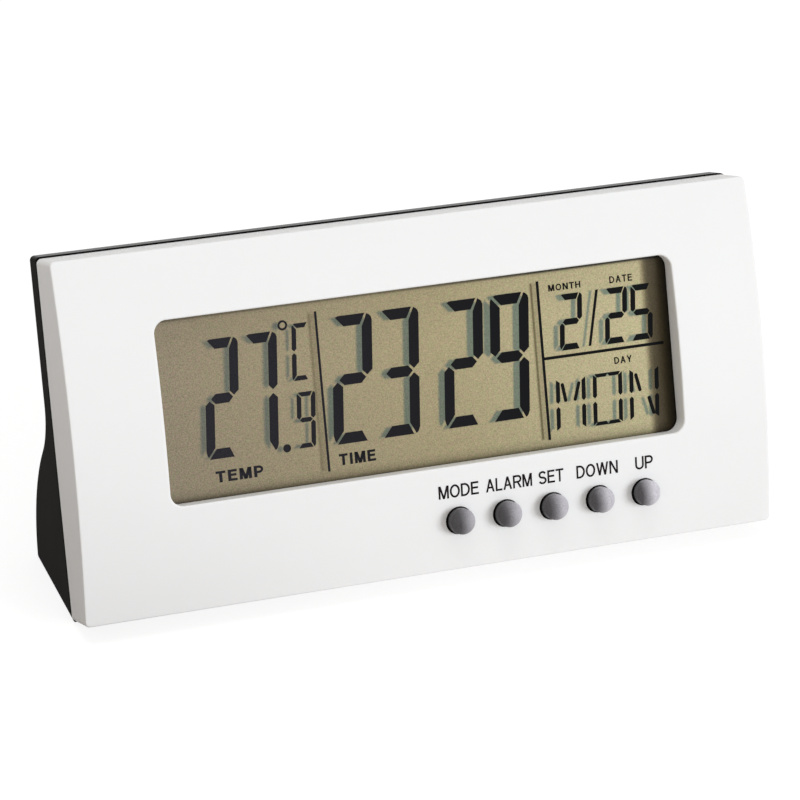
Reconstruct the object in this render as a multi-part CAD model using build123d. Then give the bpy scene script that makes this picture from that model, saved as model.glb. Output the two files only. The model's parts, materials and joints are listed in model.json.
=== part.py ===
from math import acos, asin, cos, degrees, radians, sin, sqrt
import os

from build123d import *

# A free-standing desk clock with a liquid-crystal display, in millimetres.
# Each piece is drawn upright: x to the right, y from front to back, z up the face, with y = 0 on
# the plane where the white front frame meets the black rear housing. The whole clock is then
# leant back and stood on its base.

# Overall
CLOCK_WIDTH = 145.0
FACE_HEIGHT = 70.0
LEAN_ANGLE = 25.0
BASE_DROP = 0.2

# Front frame
EDGE_THICKNESS = 8.6
FACE_BULGE = 3.2
FRAME_WALL = 2.0
FRAME_CORNER = 1.0
FRAME_EDGE_ROUND = 0.3
SCREW_BOSS_RADIUS = 2.7
BOARD_BOSS_RADIUS = 2.0

# Display window
WINDOW_SIDE_MARGIN = 18.5
WINDOW_BOTTOM = 20.9
WINDOW_TOP_MARGIN = 13.4
WINDOW_CORNER = 2.6
WINDOW_EDGE_ROUND = 0.3
WINDOW_RIM = 1.6

# Display stack, from its front face backwards
DISPLAY_SINK = 1.0
GASKET_THICKNESS = 0.3
GASKET_WIDTH = 1.2
POLARIZER_THICKNESS = 0.2
POLARIZER_MARGIN = 1.5
GLASS_THICKNESS = 1.1
GLASS_SIDE_MARGIN = 2.0
GLASS_EDGE_MARGIN = 3.5
CONTACT_LEDGE = 2.5
REFLECTOR_THICKNESS = 0.2
HOLDER_WALL = 1.1
HOLDER_FLOOR = 1.4
HOLDER_CLEARANCE = 0.1
STRIP_WIDTH = 2.0
STRIP_LENGTH = 100.0

# Main board
BOARD_THICKNESS = 1.6
BOARD_CORNER = 1.0
BOARD_SIDE_MARGIN = 0.8
BOARD_EDGE_GAP = 2.2
BOARD_CLEARANCE = 0.4
BOARD_SCREW_BOTTOM_MARGIN = 7.8
BOARD_SCREW_TOP_MARGIN = 12.1
BOARD_SCREW_GAP = 0.4

# Buttons and the switches under them
BUTTON_NAMES = ("mode", "alarm", "set", "down", "up")
BUTTON_RADIUS = 2.55
BUTTON_CLEARANCE = 0.25
BUTTON_PITCH = 10.0
FIRST_BUTTON_X = 4.6
BUTTON_HEIGHT = 9.9
BUTTON_STAND_OUT = 3.5
BUTTON_DOME = 1.3
BUTTON_EDGE_ROUND = 0.4
BUTTON_TRAVEL = 0.5
FLANGE_OVERHANG = 0.75
FLANGE_THICKNESS = 0.8
FLANGE_GAP = 0.2
GUIDE_WALL = 1.3
SWITCH_SIZE = 6.0
SWITCH_HEIGHT = 2.0
SWITCH_BORE_GAP = 0.05
PLUNGER_RADIUS = 1.75
PLUNGER_STAND_OUT = 0.8
PLUNGER_DEPTH = 0.55
PLUNGER_CLEARANCE = 0.15

# Rear housing
HOUSING_INSET = 0.2
HOUSING_TOP_RISE = 0.25
HOUSING_WALL = 1.8
HOUSING_DEPTH = 5.6
HOUSING_CORNER = 0.9
HOUSING_EDGE_ROUND = 0.5
BULGE_AXIS_HEIGHT = 8.2
BULGE_AXIS_DEPTH = -9.7
BULGE_CORE = 18.2
BULGE_ROOT = 12.0
FOOT_ROUND = 0.8
LIP_DEPTH = 1.5
LIP_WALL = 1.0
LIP_CLEARANCE = 0.2

# Screws
SCREW_SIDE_MARGIN = 6.2
SCREW_TOP_MARGIN = 8.0
LOWER_SCREW_HEIGHT = 20.0
SCREW_RADIUS = 1.25
SCREW_LENGTH = 8.0
SCREW_HEAD_RADIUS = 2.4
SCREW_HEAD_HEIGHT = 1.6
SCREW_SLOT_WIDTH = 0.6
SCREW_SLOT_DEPTH = 0.7
SCREW_WELL_RADIUS = 3.0
SCREW_WELL_WALL = 1.5
SCREW_WELL_FLOOR = 2.0
BOARD_SCREW_RADIUS = 1.0
BOARD_SCREW_LENGTH = 4.6
BOARD_HEAD_RADIUS = 1.9
BOARD_HEAD_HEIGHT = 1.2
SCREW_CLEARANCE = 0.05
HOLE_CLEARANCE = 0.2
PILOT_SPARE = 0.6

# Battery bay and cover
CELL_RADIUS = 5.25
CELL_LENGTH = 44.5
CELL_NUB_RADIUS = 1.9
CELL_NUB_LENGTH = 0.8
CELL_EDGE_ROUND = 0.4
CELL_GAP = 0.5
CELL_SPACING = 0.4
CELL_CLEARANCE = 0.2
BAY_WALL = 1.2
BAY_FLOOR = 1.0
BAY_FLOOR_OFFSET = 0.1
BAY_EDGE_GAP = 1.0
CRADLE_OFFSET = 12.0
CONTACT_THICKNESS = 0.4
CONTACT_HALF = 4.2
POSITIVE_SPACE = 1.4
NEGATIVE_SPACE = 3.4
DIMPLE_RADIUS = 1.8
LEAF_WIDTH = 4.0
LEAF_THICKNESS = 0.3
TAB_WIDTH = 2.5
TAB_LENGTH = 4.0
COVER_THICKNESS = 1.4
COVER_CLEARANCE = 0.2
COVER_LEDGE = 1.0
LEDGE_THICKNESS = 1.2
GRIP_COUNT = 5
GRIP_PITCH = 1.5
GRIP_WIDTH = 0.6
GRIP_LENGTH = 12.0
GRIP_STAND_OUT = 0.4

# Electronics behind the board
CHIP_X = 18.0
CHIP_TOP_MARGIN = 15.1
CHIP_RADIUS = 7.0
CHIP_DOME = 1.2
CRYSTAL_X = 2.0
CRYSTAL_TOP_MARGIN = 15.1
CRYSTAL_RADIUS = 1.0
CRYSTAL_LENGTH = 6.0
CAPACITOR_X = 33.0
CAPACITOR_TOP_MARGIN = 16.1
CAPACITOR_RADIUS = 2.0
CAPACITOR_LENGTH = 5.0
SENSOR_SIDE_MARGIN = 10.4
SENSOR_TOP_MARGIN = 14.1
SENSOR_RADIUS = 1.2
SENSOR_LEG_RADIUS = 0.25
SENSOR_LEG_SPREAD = 1.0
SENSOR_BACK_GAP = 0.6
VENT_COUNT = 4
VENT_PITCH = 2.6
VENT_WIDTH = 1.2
VENT_LENGTH = 10.0

# Buzzer
BUZZER_SIDE_MARGIN = 34.5
BUZZER_TOP_GAP = 2.5
BUZZER_RADIUS = 12.0
BUZZER_THICKNESS = 0.3
CERAMIC_RADIUS = 8.0
CERAMIC_THICKNESS = 0.25
BUZZER_RING_WALL = 1.0
BUZZER_RING_HEIGHT = 1.8
BUZZER_LEDGE = 0.8
SOUND_HOLE_RADIUS = 0.8
SOUND_HOLE_COUNT = 6
SOUND_HOLE_RING = 3.4

# Leads
LEAD_RADIUS = 0.55
LEAD_BEND = 3.0
LEAD_STEP = 9.0
LEAD_SPREAD = 4.0
BUZZER_LEAD_BEND = 1.2

# Worked-out places, front to back
HALF_WIDTH = CLOCK_WIDTH / 2
HALF_HEIGHT = FACE_HEIGHT / 2
FACE_RADIUS = (HALF_HEIGHT**2 + FACE_BULGE**2) / (2 * FACE_BULGE)
FACE_AXIS_Y = FACE_RADIUS - EDGE_THICKNESS - FACE_BULGE
DISPLAY_FRONT = DISPLAY_SINK - EDGE_THICKNESS
RIM_BACK = DISPLAY_FRONT - GASKET_THICKNESS
FRONT_GLASS_FRONT = DISPLAY_FRONT + POLARIZER_THICKNESS
REAR_GLASS_FRONT = FRONT_GLASS_FRONT + GLASS_THICKNESS
REFLECTOR_FRONT = REAR_GLASS_FRONT + GLASS_THICKNESS
FLOOR_FRONT = REFLECTOR_FRONT + REFLECTOR_THICKNESS
BOARD_FRONT = FLOOR_FRONT + HOLDER_FLOOR
BOARD_BACK = BOARD_FRONT + BOARD_THICKNESS
SWITCH_FRONT = BOARD_FRONT - SWITCH_HEIGHT
PLUNGER_FRONT = SWITCH_FRONT - PLUNGER_STAND_OUT
FLANGE_FRONT = PLUNGER_FRONT - FLANGE_THICKNESS
GUIDE_BACK = FLANGE_FRONT - FLANGE_GAP

# Worked-out sizes across the face
WINDOW_WIDTH = CLOCK_WIDTH - 2 * WINDOW_SIDE_MARGIN
WINDOW_HEIGHT = FACE_HEIGHT - WINDOW_BOTTOM - WINDOW_TOP_MARGIN
WINDOW_MIDDLE = WINDOW_BOTTOM + WINDOW_HEIGHT / 2
GLASS_WIDTH = WINDOW_WIDTH + 2 * GLASS_SIDE_MARGIN
FRONT_GLASS_HEIGHT = WINDOW_HEIGHT + 2 * GLASS_EDGE_MARGIN
REAR_GLASS_HEIGHT = FRONT_GLASS_HEIGHT - 2 * CONTACT_LEDGE
HOLDER_WIDTH = GLASS_WIDTH + 2 * (HOLDER_CLEARANCE + HOLDER_WALL)
HOLDER_HEIGHT = FRONT_GLASS_HEIGHT + 2 * (HOLDER_CLEARANCE + HOLDER_WALL)
STRIP_OFFSET = FRONT_GLASS_HEIGHT / 2 - CONTACT_LEDGE / 2
BOARD_SCREW_X = HOLDER_WIDTH / 2 + BOARD_SCREW_GAP + BOARD_BOSS_RADIUS
BOARD_WIDTH = 2 * (BOARD_SCREW_X + BOARD_BOSS_RADIUS + BOARD_SIDE_MARGIN)
BOARD_BOTTOM = FRAME_WALL + BOARD_EDGE_GAP
BOARD_TOP = WINDOW_MIDDLE + HOLDER_HEIGHT / 2 + BOARD_SIDE_MARGIN
BOARD_SCREW_HEIGHTS = (
    BOARD_BOTTOM + BOARD_SCREW_BOTTOM_MARGIN,
    BOARD_TOP - BOARD_SCREW_TOP_MARGIN,
)
SCREW_X = HALF_WIDTH - SCREW_SIDE_MARGIN
SCREW_HEIGHTS = (LOWER_SCREW_HEIGHT, FACE_HEIGHT - SCREW_TOP_MARGIN)

# Worked-out places behind the board
INNER_BACK = HOUSING_DEPTH - HOUSING_WALL
CHIP_HEIGHT = BOARD_TOP - CHIP_TOP_MARGIN
CRYSTAL_HEIGHT = BOARD_TOP - CRYSTAL_TOP_MARGIN
CAPACITOR_HEIGHT = BOARD_TOP - CAPACITOR_TOP_MARGIN
SENSOR_X = BOARD_WIDTH / 2 - SENSOR_SIDE_MARGIN
SENSOR_HEIGHT = BOARD_TOP - SENSOR_TOP_MARGIN
SENSOR_DEPTH = INNER_BACK - SENSOR_BACK_GAP - SENSOR_RADIUS
BUZZER_RING_RADIUS = BUZZER_RADIUS + LIP_CLEARANCE + BUZZER_RING_WALL
BUZZER_X = BUZZER_SIDE_MARGIN - HALF_WIDTH
BUZZER_HEIGHT = FACE_HEIGHT - HOUSING_WALL - BUZZER_TOP_GAP - BUZZER_RING_RADIUS
BUZZER_BACK = INNER_BACK - BUZZER_RING_HEIGHT + 2 * BUZZER_THICKNESS

# Worked-out battery layout, on a ring about the axis of the housing's round bulge
BULGE_RADIUS = BULGE_CORE + 2 * CELL_RADIUS + CELL_GAP + HOUSING_WALL
CELL_RING = BULGE_CORE + CELL_RADIUS
BAY_FRONT = BAY_FLOOR_OFFSET + BAY_FLOOR
UPPER_CELL_ANGLE = degrees(
    acos((BAY_FRONT + CELL_CLEARANCE + CELL_RADIUS - BULGE_AXIS_DEPTH) / CELL_RING)
)
HALF_CELL_ANGLE = degrees(asin((CELL_RADIUS + CELL_SPACING / 2) / CELL_RING))
BAY_ANGLE = UPPER_CELL_ANGLE - HALF_CELL_ANGLE
LOWER_CELL_ANGLE = BAY_ANGLE - HALF_CELL_ANGLE
BAY_HALF_LENGTH = (CELL_LENGTH + POSITIVE_SPACE + NEGATIVE_SPACE) / 2
CELL_SHIFT = (NEGATIVE_SPACE - POSITIVE_SPACE) / 2
COVER_SEAT_RADIUS = BULGE_RADIUS - COVER_THICKNESS - COVER_CLEARANCE
MOUTH_HALF_HEIGHT = 2 * CELL_RADIUS + CELL_SPACING / 2 + CELL_CLEARANCE
COVER_HALF_HEIGHT = MOUTH_HALF_HEIGHT + COVER_LEDGE
COVER_HALF_LENGTH = BAY_HALF_LENGTH + COVER_LEDGE


def face_y(height, inset=0.0):
    """Depth of the curved front face at a height, or of a surface inset behind it."""
    return FACE_AXIS_Y - sqrt((FACE_RADIUS - inset) ** 2 - (height - HALF_HEIGHT) ** 2)


def base_height(depth, inset=0.0):
    """Height of the flat base at a depth, measured up the leaning face."""
    lean = radians(LEAN_ANGLE)
    return (depth * sin(lean) - BASE_DROP + inset) / cos(lean)


def bulge_point(radius, angle):
    """Depth and height of a point round the bulge's axis, angle measured up from straight back."""
    turn = radians(angle)
    return (BULGE_AXIS_DEPTH + radius * cos(turn), BULGE_AXIS_HEIGHT + radius * sin(turn))


def block(x_range, y_range, z_range):
    """Box between three pairs of limits."""
    size = [high - low for low, high in (x_range, y_range, z_range)]
    middle = [(low + high) / 2 for low, high in (x_range, y_range, z_range)]
    return Pos(*middle) * Box(*size)


def plate(width, height, middle_height, front, back, corner=0.0):
    """Upright plate on the clock's centre line, with rounded corners where asked."""
    outline = RectangleRounded(width, height, corner) if corner else Rectangle(width, height)
    plane = Plane(origin=(0, back, middle_height), x_dir=(1, 0, 0), z_dir=(0, -1, 0))
    return extrude(plane * outline, amount=back - front)


def rod(radius, x, height, front, back):
    """Round bar running front to back."""
    plane = Plane(origin=(x, back, height), x_dir=(1, 0, 0), z_dir=(0, -1, 0))
    return extrude(plane * Circle(radius), amount=back - front)


def bar(radius, left, right, depth, height):
    """Round bar running along the clock's width."""
    plane = Plane(origin=(left, depth, height), x_dir=(0, 1, 0), z_dir=(1, 0, 0))
    return extrude(plane * Circle(radius), amount=right - left)


def joined(pieces):
    """Union of several shapes that may be apart."""
    result = pieces[0]
    for piece in pieces[1:]:
        result = result + piece
    return result


# Front frame


def face_outline(inset):
    """Side outline of the front frame: flat behind, curved in front, all inset by a wall."""
    low = inset
    high = FACE_HEIGHT - inset
    with BuildSketch(Plane.YZ) as sketch:
        with BuildLine():
            Line((0, low), (0, high))
            Line((0, high), (face_y(high, inset), high))
            ThreePointArc(
                (face_y(high, inset), high),
                (face_y(HALF_HEIGHT, inset), HALF_HEIGHT),
                (face_y(low, inset), low),
            )
            Line((face_y(low, inset), low), (0, low))
        make_face()
    return sketch.sketch


def frame_blank():
    blank = extrude(face_outline(0.0), amount=HALF_WIDTH, both=True)
    corners = [
        edge
        for edge in blank.edges().filter_by(Axis.Y)
        if abs(abs(edge.center().X) - HALF_WIDTH) < 0.01
    ]
    blank = fillet(corners, FRAME_CORNER)
    window = plate(
        WINDOW_WIDTH, WINDOW_HEIGHT, WINDOW_MIDDLE, 2 * face_y(HALF_HEIGHT), 0, WINDOW_CORNER
    )
    blank = blank - window
    front = blank.faces().sort_by(Axis.Y)[0]
    blank = fillet(front.outer_wire().edges(), FRAME_EDGE_ROUND)
    front = blank.faces().sort_by(Axis.Y)[0]
    return fillet(front.inner_wires()[0].edges(), WINDOW_EDGE_ROUND)


def frame_cavity():
    return extrude(face_outline(FRAME_WALL), amount=HALF_WIDTH - FRAME_WALL, both=True)


def window_rim():
    """Skirt round the window that reaches back to the display's gasket."""
    outer = plate(
        WINDOW_WIDTH + 2 * WINDOW_RIM,
        WINDOW_HEIGHT + 2 * WINDOW_RIM,
        WINDOW_MIDDLE,
        face_y(WINDOW_MIDDLE, FRAME_WALL / 2),
        RIM_BACK,
        WINDOW_CORNER + WINDOW_RIM,
    )
    inner = plate(
        WINDOW_WIDTH, WINDOW_HEIGHT, WINDOW_MIDDLE, 2 * face_y(HALF_HEIGHT), 0, WINDOW_CORNER
    )
    shell = extrude(face_outline(FRAME_WALL / 2), amount=HALF_WIDTH, both=True)
    return (outer & shell) - inner


def button_places():
    return [FIRST_BUTTON_X + BUTTON_PITCH * index for index in range(len(BUTTON_NAMES))]


def frame_boss(radius, x, height, back):
    """Post on the inside of the front wall."""
    return rod(radius, x, height, face_y(height, FRAME_WALL / 2), back)


def front_frame():
    frame = frame_blank() - frame_cavity()
    frame = frame + window_rim()
    guide_radius = BUTTON_RADIUS + BUTTON_CLEARANCE + GUIDE_WALL
    flange_radius = BUTTON_RADIUS + FLANGE_OVERHANG + FLANGE_GAP
    for x in button_places():
        frame = frame + frame_boss(guide_radius, x, BUTTON_HEIGHT, GUIDE_BACK)
    for x in button_places():
        hole_radius = BUTTON_RADIUS + BUTTON_CLEARANCE
        frame = frame - rod(hole_radius, x, BUTTON_HEIGHT, 2 * face_y(HALF_HEIGHT), 0)
        frame = frame - rod(flange_radius, x, BUTTON_HEIGHT, GUIDE_BACK, 0)
    for side in (-1, 1):
        for height in SCREW_HEIGHTS:
            frame = frame + frame_boss(SCREW_BOSS_RADIUS, side * SCREW_X, height, 0)
            frame = frame - housing_pilot(side * SCREW_X, height)
        for height in BOARD_SCREW_HEIGHTS:
            frame = frame + frame_boss(BOARD_BOSS_RADIUS, side * BOARD_SCREW_X, height, BOARD_FRONT)
            frame = frame - board_pilot(side * BOARD_SCREW_X, height)
    return frame


def housing_pilot(x, height):
    end = SCREW_WELL_FLOOR - SCREW_LENGTH - PILOT_SPARE
    return rod(SCREW_RADIUS + SCREW_CLEARANCE, x, height, end, SCREW_WELL_FLOOR)


def board_pilot(x, height):
    end = BOARD_BACK - BOARD_SCREW_LENGTH - PILOT_SPARE
    return rod(BOARD_SCREW_RADIUS + SCREW_CLEARANCE, x, height, end, BOARD_BACK)


# Display


def display_gasket():
    outer = plate(
        WINDOW_WIDTH + 2 * (WINDOW_EDGE_ROUND + GASKET_WIDTH),
        WINDOW_HEIGHT + 2 * (WINDOW_EDGE_ROUND + GASKET_WIDTH),
        WINDOW_MIDDLE,
        RIM_BACK,
        DISPLAY_FRONT,
        WINDOW_CORNER + GASKET_WIDTH,
    )
    inner = plate(
        WINDOW_WIDTH + 2 * WINDOW_EDGE_ROUND,
        WINDOW_HEIGHT + 2 * WINDOW_EDGE_ROUND,
        WINDOW_MIDDLE,
        RIM_BACK,
        DISPLAY_FRONT,
        WINDOW_CORNER,
    )
    return outer - inner


def front_polarizer():
    return plate(
        WINDOW_WIDTH + 2 * POLARIZER_MARGIN,
        WINDOW_HEIGHT + 2 * POLARIZER_MARGIN,
        WINDOW_MIDDLE,
        DISPLAY_FRONT,
        FRONT_GLASS_FRONT,
    )


def front_glass():
    return plate(
        GLASS_WIDTH, FRONT_GLASS_HEIGHT, WINDOW_MIDDLE, FRONT_GLASS_FRONT, REAR_GLASS_FRONT
    )


def rear_glass():
    return plate(GLASS_WIDTH, REAR_GLASS_HEIGHT, WINDOW_MIDDLE, REAR_GLASS_FRONT, REFLECTOR_FRONT)


def display_reflector():
    return plate(GLASS_WIDTH, REAR_GLASS_HEIGHT, WINDOW_MIDDLE, REFLECTOR_FRONT, FLOOR_FRONT)


def display_holder():
    """Tray that carries the glass and keeps the connector strips on their contacts."""
    tray = plate(HOLDER_WIDTH, HOLDER_HEIGHT, WINDOW_MIDDLE, FRONT_GLASS_FRONT, BOARD_FRONT)
    pocket_width = GLASS_WIDTH + 2 * HOLDER_CLEARANCE
    front_pocket = plate(
        pocket_width,
        FRONT_GLASS_HEIGHT + 2 * HOLDER_CLEARANCE,
        WINDOW_MIDDLE,
        FRONT_GLASS_FRONT,
        REAR_GLASS_FRONT,
    )
    rear_pocket = plate(
        pocket_width,
        REAR_GLASS_HEIGHT + 2 * HOLDER_CLEARANCE,
        WINDOW_MIDDLE,
        REAR_GLASS_FRONT,
        FLOOR_FRONT,
    )
    tray = tray - front_pocket - rear_pocket
    for side in (-1, 1):
        slot = plate(
            STRIP_LENGTH + 2 * HOLDER_CLEARANCE,
            STRIP_WIDTH + 2 * HOLDER_CLEARANCE,
            WINDOW_MIDDLE + side * STRIP_OFFSET,
            REAR_GLASS_FRONT,
            BOARD_FRONT,
        )
        tray = tray - slot
    return tray


def connector_strip(side):
    """Conductive rubber strip from the glass ledge to the board."""
    height = WINDOW_MIDDLE + side * STRIP_OFFSET
    return plate(STRIP_LENGTH, STRIP_WIDTH, height, REAR_GLASS_FRONT, BOARD_FRONT)


# Board, switches and buttons


def main_board():
    height = BOARD_TOP - BOARD_BOTTOM
    middle = (BOARD_TOP + BOARD_BOTTOM) / 2
    board = plate(BOARD_WIDTH, height, middle, BOARD_FRONT, BOARD_BACK, BOARD_CORNER)
    for side in (-1, 1):
        for screw_height in SCREW_HEIGHTS:
            notch_radius = SCREW_BOSS_RADIUS + BOARD_CLEARANCE
            board = board - rod(
                notch_radius, side * SCREW_X, screw_height, BOARD_FRONT, BOARD_BACK
            )
        for screw_height in BOARD_SCREW_HEIGHTS:
            hole_radius = BOARD_SCREW_RADIUS + HOLE_CLEARANCE
            board = board - rod(
                hole_radius, side * BOARD_SCREW_X, screw_height, BOARD_FRONT, BOARD_BACK
            )
    return board


def tact_switches():
    bodies = []
    for x in button_places():
        body = block(
            (x - SWITCH_SIZE / 2, x + SWITCH_SIZE / 2),
            (SWITCH_FRONT, BOARD_FRONT),
            (BUTTON_HEIGHT - SWITCH_SIZE / 2, BUTTON_HEIGHT + SWITCH_SIZE / 2),
        )
        bore_back = SWITCH_FRONT + PLUNGER_DEPTH + BUTTON_TRAVEL + PLUNGER_CLEARANCE
        bore_radius = PLUNGER_RADIUS + SWITCH_BORE_GAP
        bodies.append(body - rod(bore_radius, x, BUTTON_HEIGHT, SWITCH_FRONT, bore_back))
    return Compound(bodies)


def switch_plunger(x):
    return rod(PLUNGER_RADIUS, x, BUTTON_HEIGHT, PLUNGER_FRONT, SWITCH_FRONT + PLUNGER_DEPTH)


def button(x):
    """Round push button: domed tip, straight stem and a flange that keeps it in the frame."""
    tip = face_y(BUTTON_HEIGHT) - BUTTON_STAND_OUT
    shoulder = tip + BUTTON_DOME
    dome_radius = (BUTTON_RADIUS**2 + BUTTON_DOME**2) / (2 * BUTTON_DOME)
    half_way = BUTTON_RADIUS / 2
    half_way_drop = dome_radius - sqrt(dome_radius**2 - half_way**2)
    flange_radius = BUTTON_RADIUS + FLANGE_OVERHANG
    with BuildSketch(Plane.XY) as sketch:
        with BuildLine():
            ThreePointArc((0, tip), (half_way, tip + half_way_drop), (BUTTON_RADIUS, shoulder))
            Polyline(
                (BUTTON_RADIUS, shoulder),
                (BUTTON_RADIUS, FLANGE_FRONT),
                (flange_radius, FLANGE_FRONT),
                (flange_radius, PLUNGER_FRONT),
                (0, PLUNGER_FRONT),
                (0, tip),
            )
        make_face()
        rim = [v for v in sketch.vertices() if abs(v.Y - shoulder) < 0.001]
        fillet(rim, BUTTON_EDGE_ROUND)
    return Pos(x, 0, BUTTON_HEIGHT) * revolve(sketch.sketch, axis=Axis.Y)


# Rear housing


def housing_outline(inset):
    """Side outline of the rear housing: thin upper back, round bulge below and a flat base."""
    radius = BULGE_RADIUS - inset
    back = HOUSING_DEPTH - inset
    top = FACE_HEIGHT + HOUSING_TOP_RISE - inset
    root_angle = degrees(acos((back - BULGE_AXIS_DEPTH) / radius))
    foot_angle = foot_turn(inset)
    root = bulge_point(radius, root_angle)
    foot = bulge_point(radius, foot_angle)
    crown = bulge_point(radius, (root_angle + foot_angle) / 2)
    with BuildSketch(Plane.YZ) as sketch:
        with BuildLine():
            Line((0, base_height(0, inset)), foot)
            ThreePointArc(foot, crown, root)
            Polyline(root, (back, top), (0, top), (0, base_height(0, inset)))
        make_face()
        fillet(near(sketch.vertices(), root), BULGE_ROOT + inset)
        fillet(near(sketch.vertices(), foot), max(FOOT_ROUND - inset, HOUSING_EDGE_ROUND / 2))
    return sketch.sketch


def foot_turn(inset):
    """Angle round the bulge's axis at which its circle meets the base plane."""
    lean = radians(LEAN_ANGLE)
    axis_rise = BULGE_AXIS_HEIGHT * cos(lean) - BULGE_AXIS_DEPTH * sin(lean) + BASE_DROP - inset
    return LEAN_ANGLE - degrees(asin(axis_rise / (BULGE_RADIUS - inset)))


def near(vertices, place):
    """Corners of a side outline at a depth and height, which are its own x and y."""
    return [v for v in vertices if abs(v.X - place[0]) < 0.01 and abs(v.Y - place[1]) < 0.01]


def housing_block(inset):
    half = HALF_WIDTH - HOUSING_INSET - inset
    return extrude(housing_outline(inset), amount=half, both=True)


def housing_blank():
    blank = housing_block(0.0)
    half = HALF_WIDTH - HOUSING_INSET
    corners = [
        edge
        for edge in blank.edges().filter_by(Axis.Y)
        if abs(abs(edge.center().X) - half) < 0.01 and edge.center().Z > HALF_HEIGHT
    ]
    blank = fillet(corners, HOUSING_CORNER)
    sides = [
        edge
        for edge in blank.edges()
        if abs(abs(edge.center().X) - half) < 0.01 and edge.center().Y > 0.01
    ]
    return fillet(sides, HOUSING_EDGE_ROUND)


def locating_lip():
    """Inner rim that steps into the front frame."""
    width = CLOCK_WIDTH - 2 * (FRAME_WALL + LIP_CLEARANCE)
    height = FACE_HEIGHT - 2 * (FRAME_WALL + LIP_CLEARANCE)
    middle = FACE_HEIGHT / 2
    lip = plate(width, height, middle, -LIP_DEPTH, LIP_DEPTH)
    root = housing_block(HOUSING_WALL / 2) & plate(
        CLOCK_WIDTH, 2 * FACE_HEIGHT, middle, 0, LIP_DEPTH
    )
    space = plate(width - 2 * LIP_WALL, height - 2 * LIP_WALL, middle, -LIP_DEPTH, LIP_DEPTH)
    return (lip + root) - space


def about_bulge(angle, shape):
    """Turns a shape drawn about the bulge's axis so that its z points outwards at an angle."""
    return Pos(0, BULGE_AXIS_DEPTH, BULGE_AXIS_HEIGHT) * Rot(X=angle - 90) * shape


def bay_prism(half_length, half_height, low, high):
    """Box square to the battery cover, between two distances from the bulge's axis."""
    size = Box(2 * half_length, 2 * half_height, high - low)
    return about_bulge(BAY_ANGLE, Pos(0, 0, (low + high) / 2) * size)


def bulge_ring(inner, outer, half_length):
    """Round shell about the bulge's axis."""
    ring = bar(outer, -half_length, half_length, BULGE_AXIS_DEPTH, BULGE_AXIS_HEIGHT)
    return ring - bar(inner, -half_length, half_length, BULGE_AXIS_DEPTH, BULGE_AXIS_HEIGHT)


def cover_ledge():
    """Step inside the battery opening that the cover rests on."""
    inner = COVER_SEAT_RADIUS - LEDGE_THICKNESS
    reach = COVER_CLEARANCE + COVER_LEDGE
    ring = bulge_ring(inner, COVER_SEAT_RADIUS, COVER_HALF_LENGTH + reach)
    prism = bay_prism(
        COVER_HALF_LENGTH + reach, COVER_HALF_HEIGHT + reach, BULGE_CORE, BULGE_RADIUS
    )
    return ring & prism


def bay_heights():
    """Lower and upper inner faces of the battery bay, measured up the face."""
    low = bulge_point(CELL_RING, LOWER_CELL_ANGLE)[1] - CELL_RADIUS - CELL_CLEARANCE
    high = bulge_point(CELL_RING, UPPER_CELL_ANGLE)[1] + CELL_RADIUS + BAY_EDGE_GAP
    return low, high


def battery_bay():
    """Open tray for the two cells, with cradle ribs across its floor."""
    low, high = bay_heights()
    inside = bar(
        COVER_SEAT_RADIUS - COVER_CLEARANCE,
        -BAY_HALF_LENGTH - BAY_WALL,
        BAY_HALF_LENGTH + BAY_WALL,
        BULGE_AXIS_DEPTH,
        BULGE_AXIS_HEIGHT,
    )
    tray = block(
        (-BAY_HALF_LENGTH - BAY_WALL, BAY_HALF_LENGTH + BAY_WALL),
        (BAY_FLOOR_OFFSET, BULGE_RADIUS),
        (low - BAY_WALL, high + BAY_WALL),
    )
    space = block(
        (-BAY_HALF_LENGTH, BAY_HALF_LENGTH), (BAY_FRONT, BULGE_RADIUS), (low, high)
    )
    tray = (tray & inside & housing_block(HOUSING_WALL / 2)) - space
    for side in (-1, 1):
        tray = tray + cradle_rib(side * CRADLE_OFFSET, low, high)
    return tray


def cradle_rib(x, low, high):
    rib = block((x - BAY_WALL / 2, x + BAY_WALL / 2), (BAY_FLOOR_OFFSET, BULGE_RADIUS), (low, high))
    reach = CELL_RING * cos(radians(HALF_CELL_ANGLE)) - CELL_CLEARANCE
    rib = rib & bar(reach, x - BAY_WALL, x + BAY_WALL, BULGE_AXIS_DEPTH, BULGE_AXIS_HEIGHT)
    for angle in (LOWER_CELL_ANGLE, UPPER_CELL_ANGLE):
        depth, height = bulge_point(CELL_RING, angle)
        rib = rib - bar(CELL_RADIUS + CELL_CLEARANCE, x - BAY_WALL, x + BAY_WALL, depth, height)
    return rib


def screw_wells():
    """Tubes that take the housing screws down to the parting plane."""
    posts = []
    for side in (-1, 1):
        for height in SCREW_HEIGHTS:
            outer = SCREW_WELL_RADIUS + SCREW_WELL_WALL
            posts.append(rod(outer, side * SCREW_X, height, 0, 2 * BULGE_RADIUS))
    return joined(posts) & housing_block(HOUSING_WALL / 2)


def screw_well_holes():
    holes = []
    for side in (-1, 1):
        for height in SCREW_HEIGHTS:
            x = side * SCREW_X
            shank_radius = SCREW_RADIUS + HOLE_CLEARANCE
            holes.append(rod(shank_radius, x, height, -LIP_DEPTH, SCREW_WELL_FLOOR))
            holes.append(rod(SCREW_WELL_RADIUS, x, height, SCREW_WELL_FLOOR, 2 * BULGE_RADIUS))
    return holes


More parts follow.
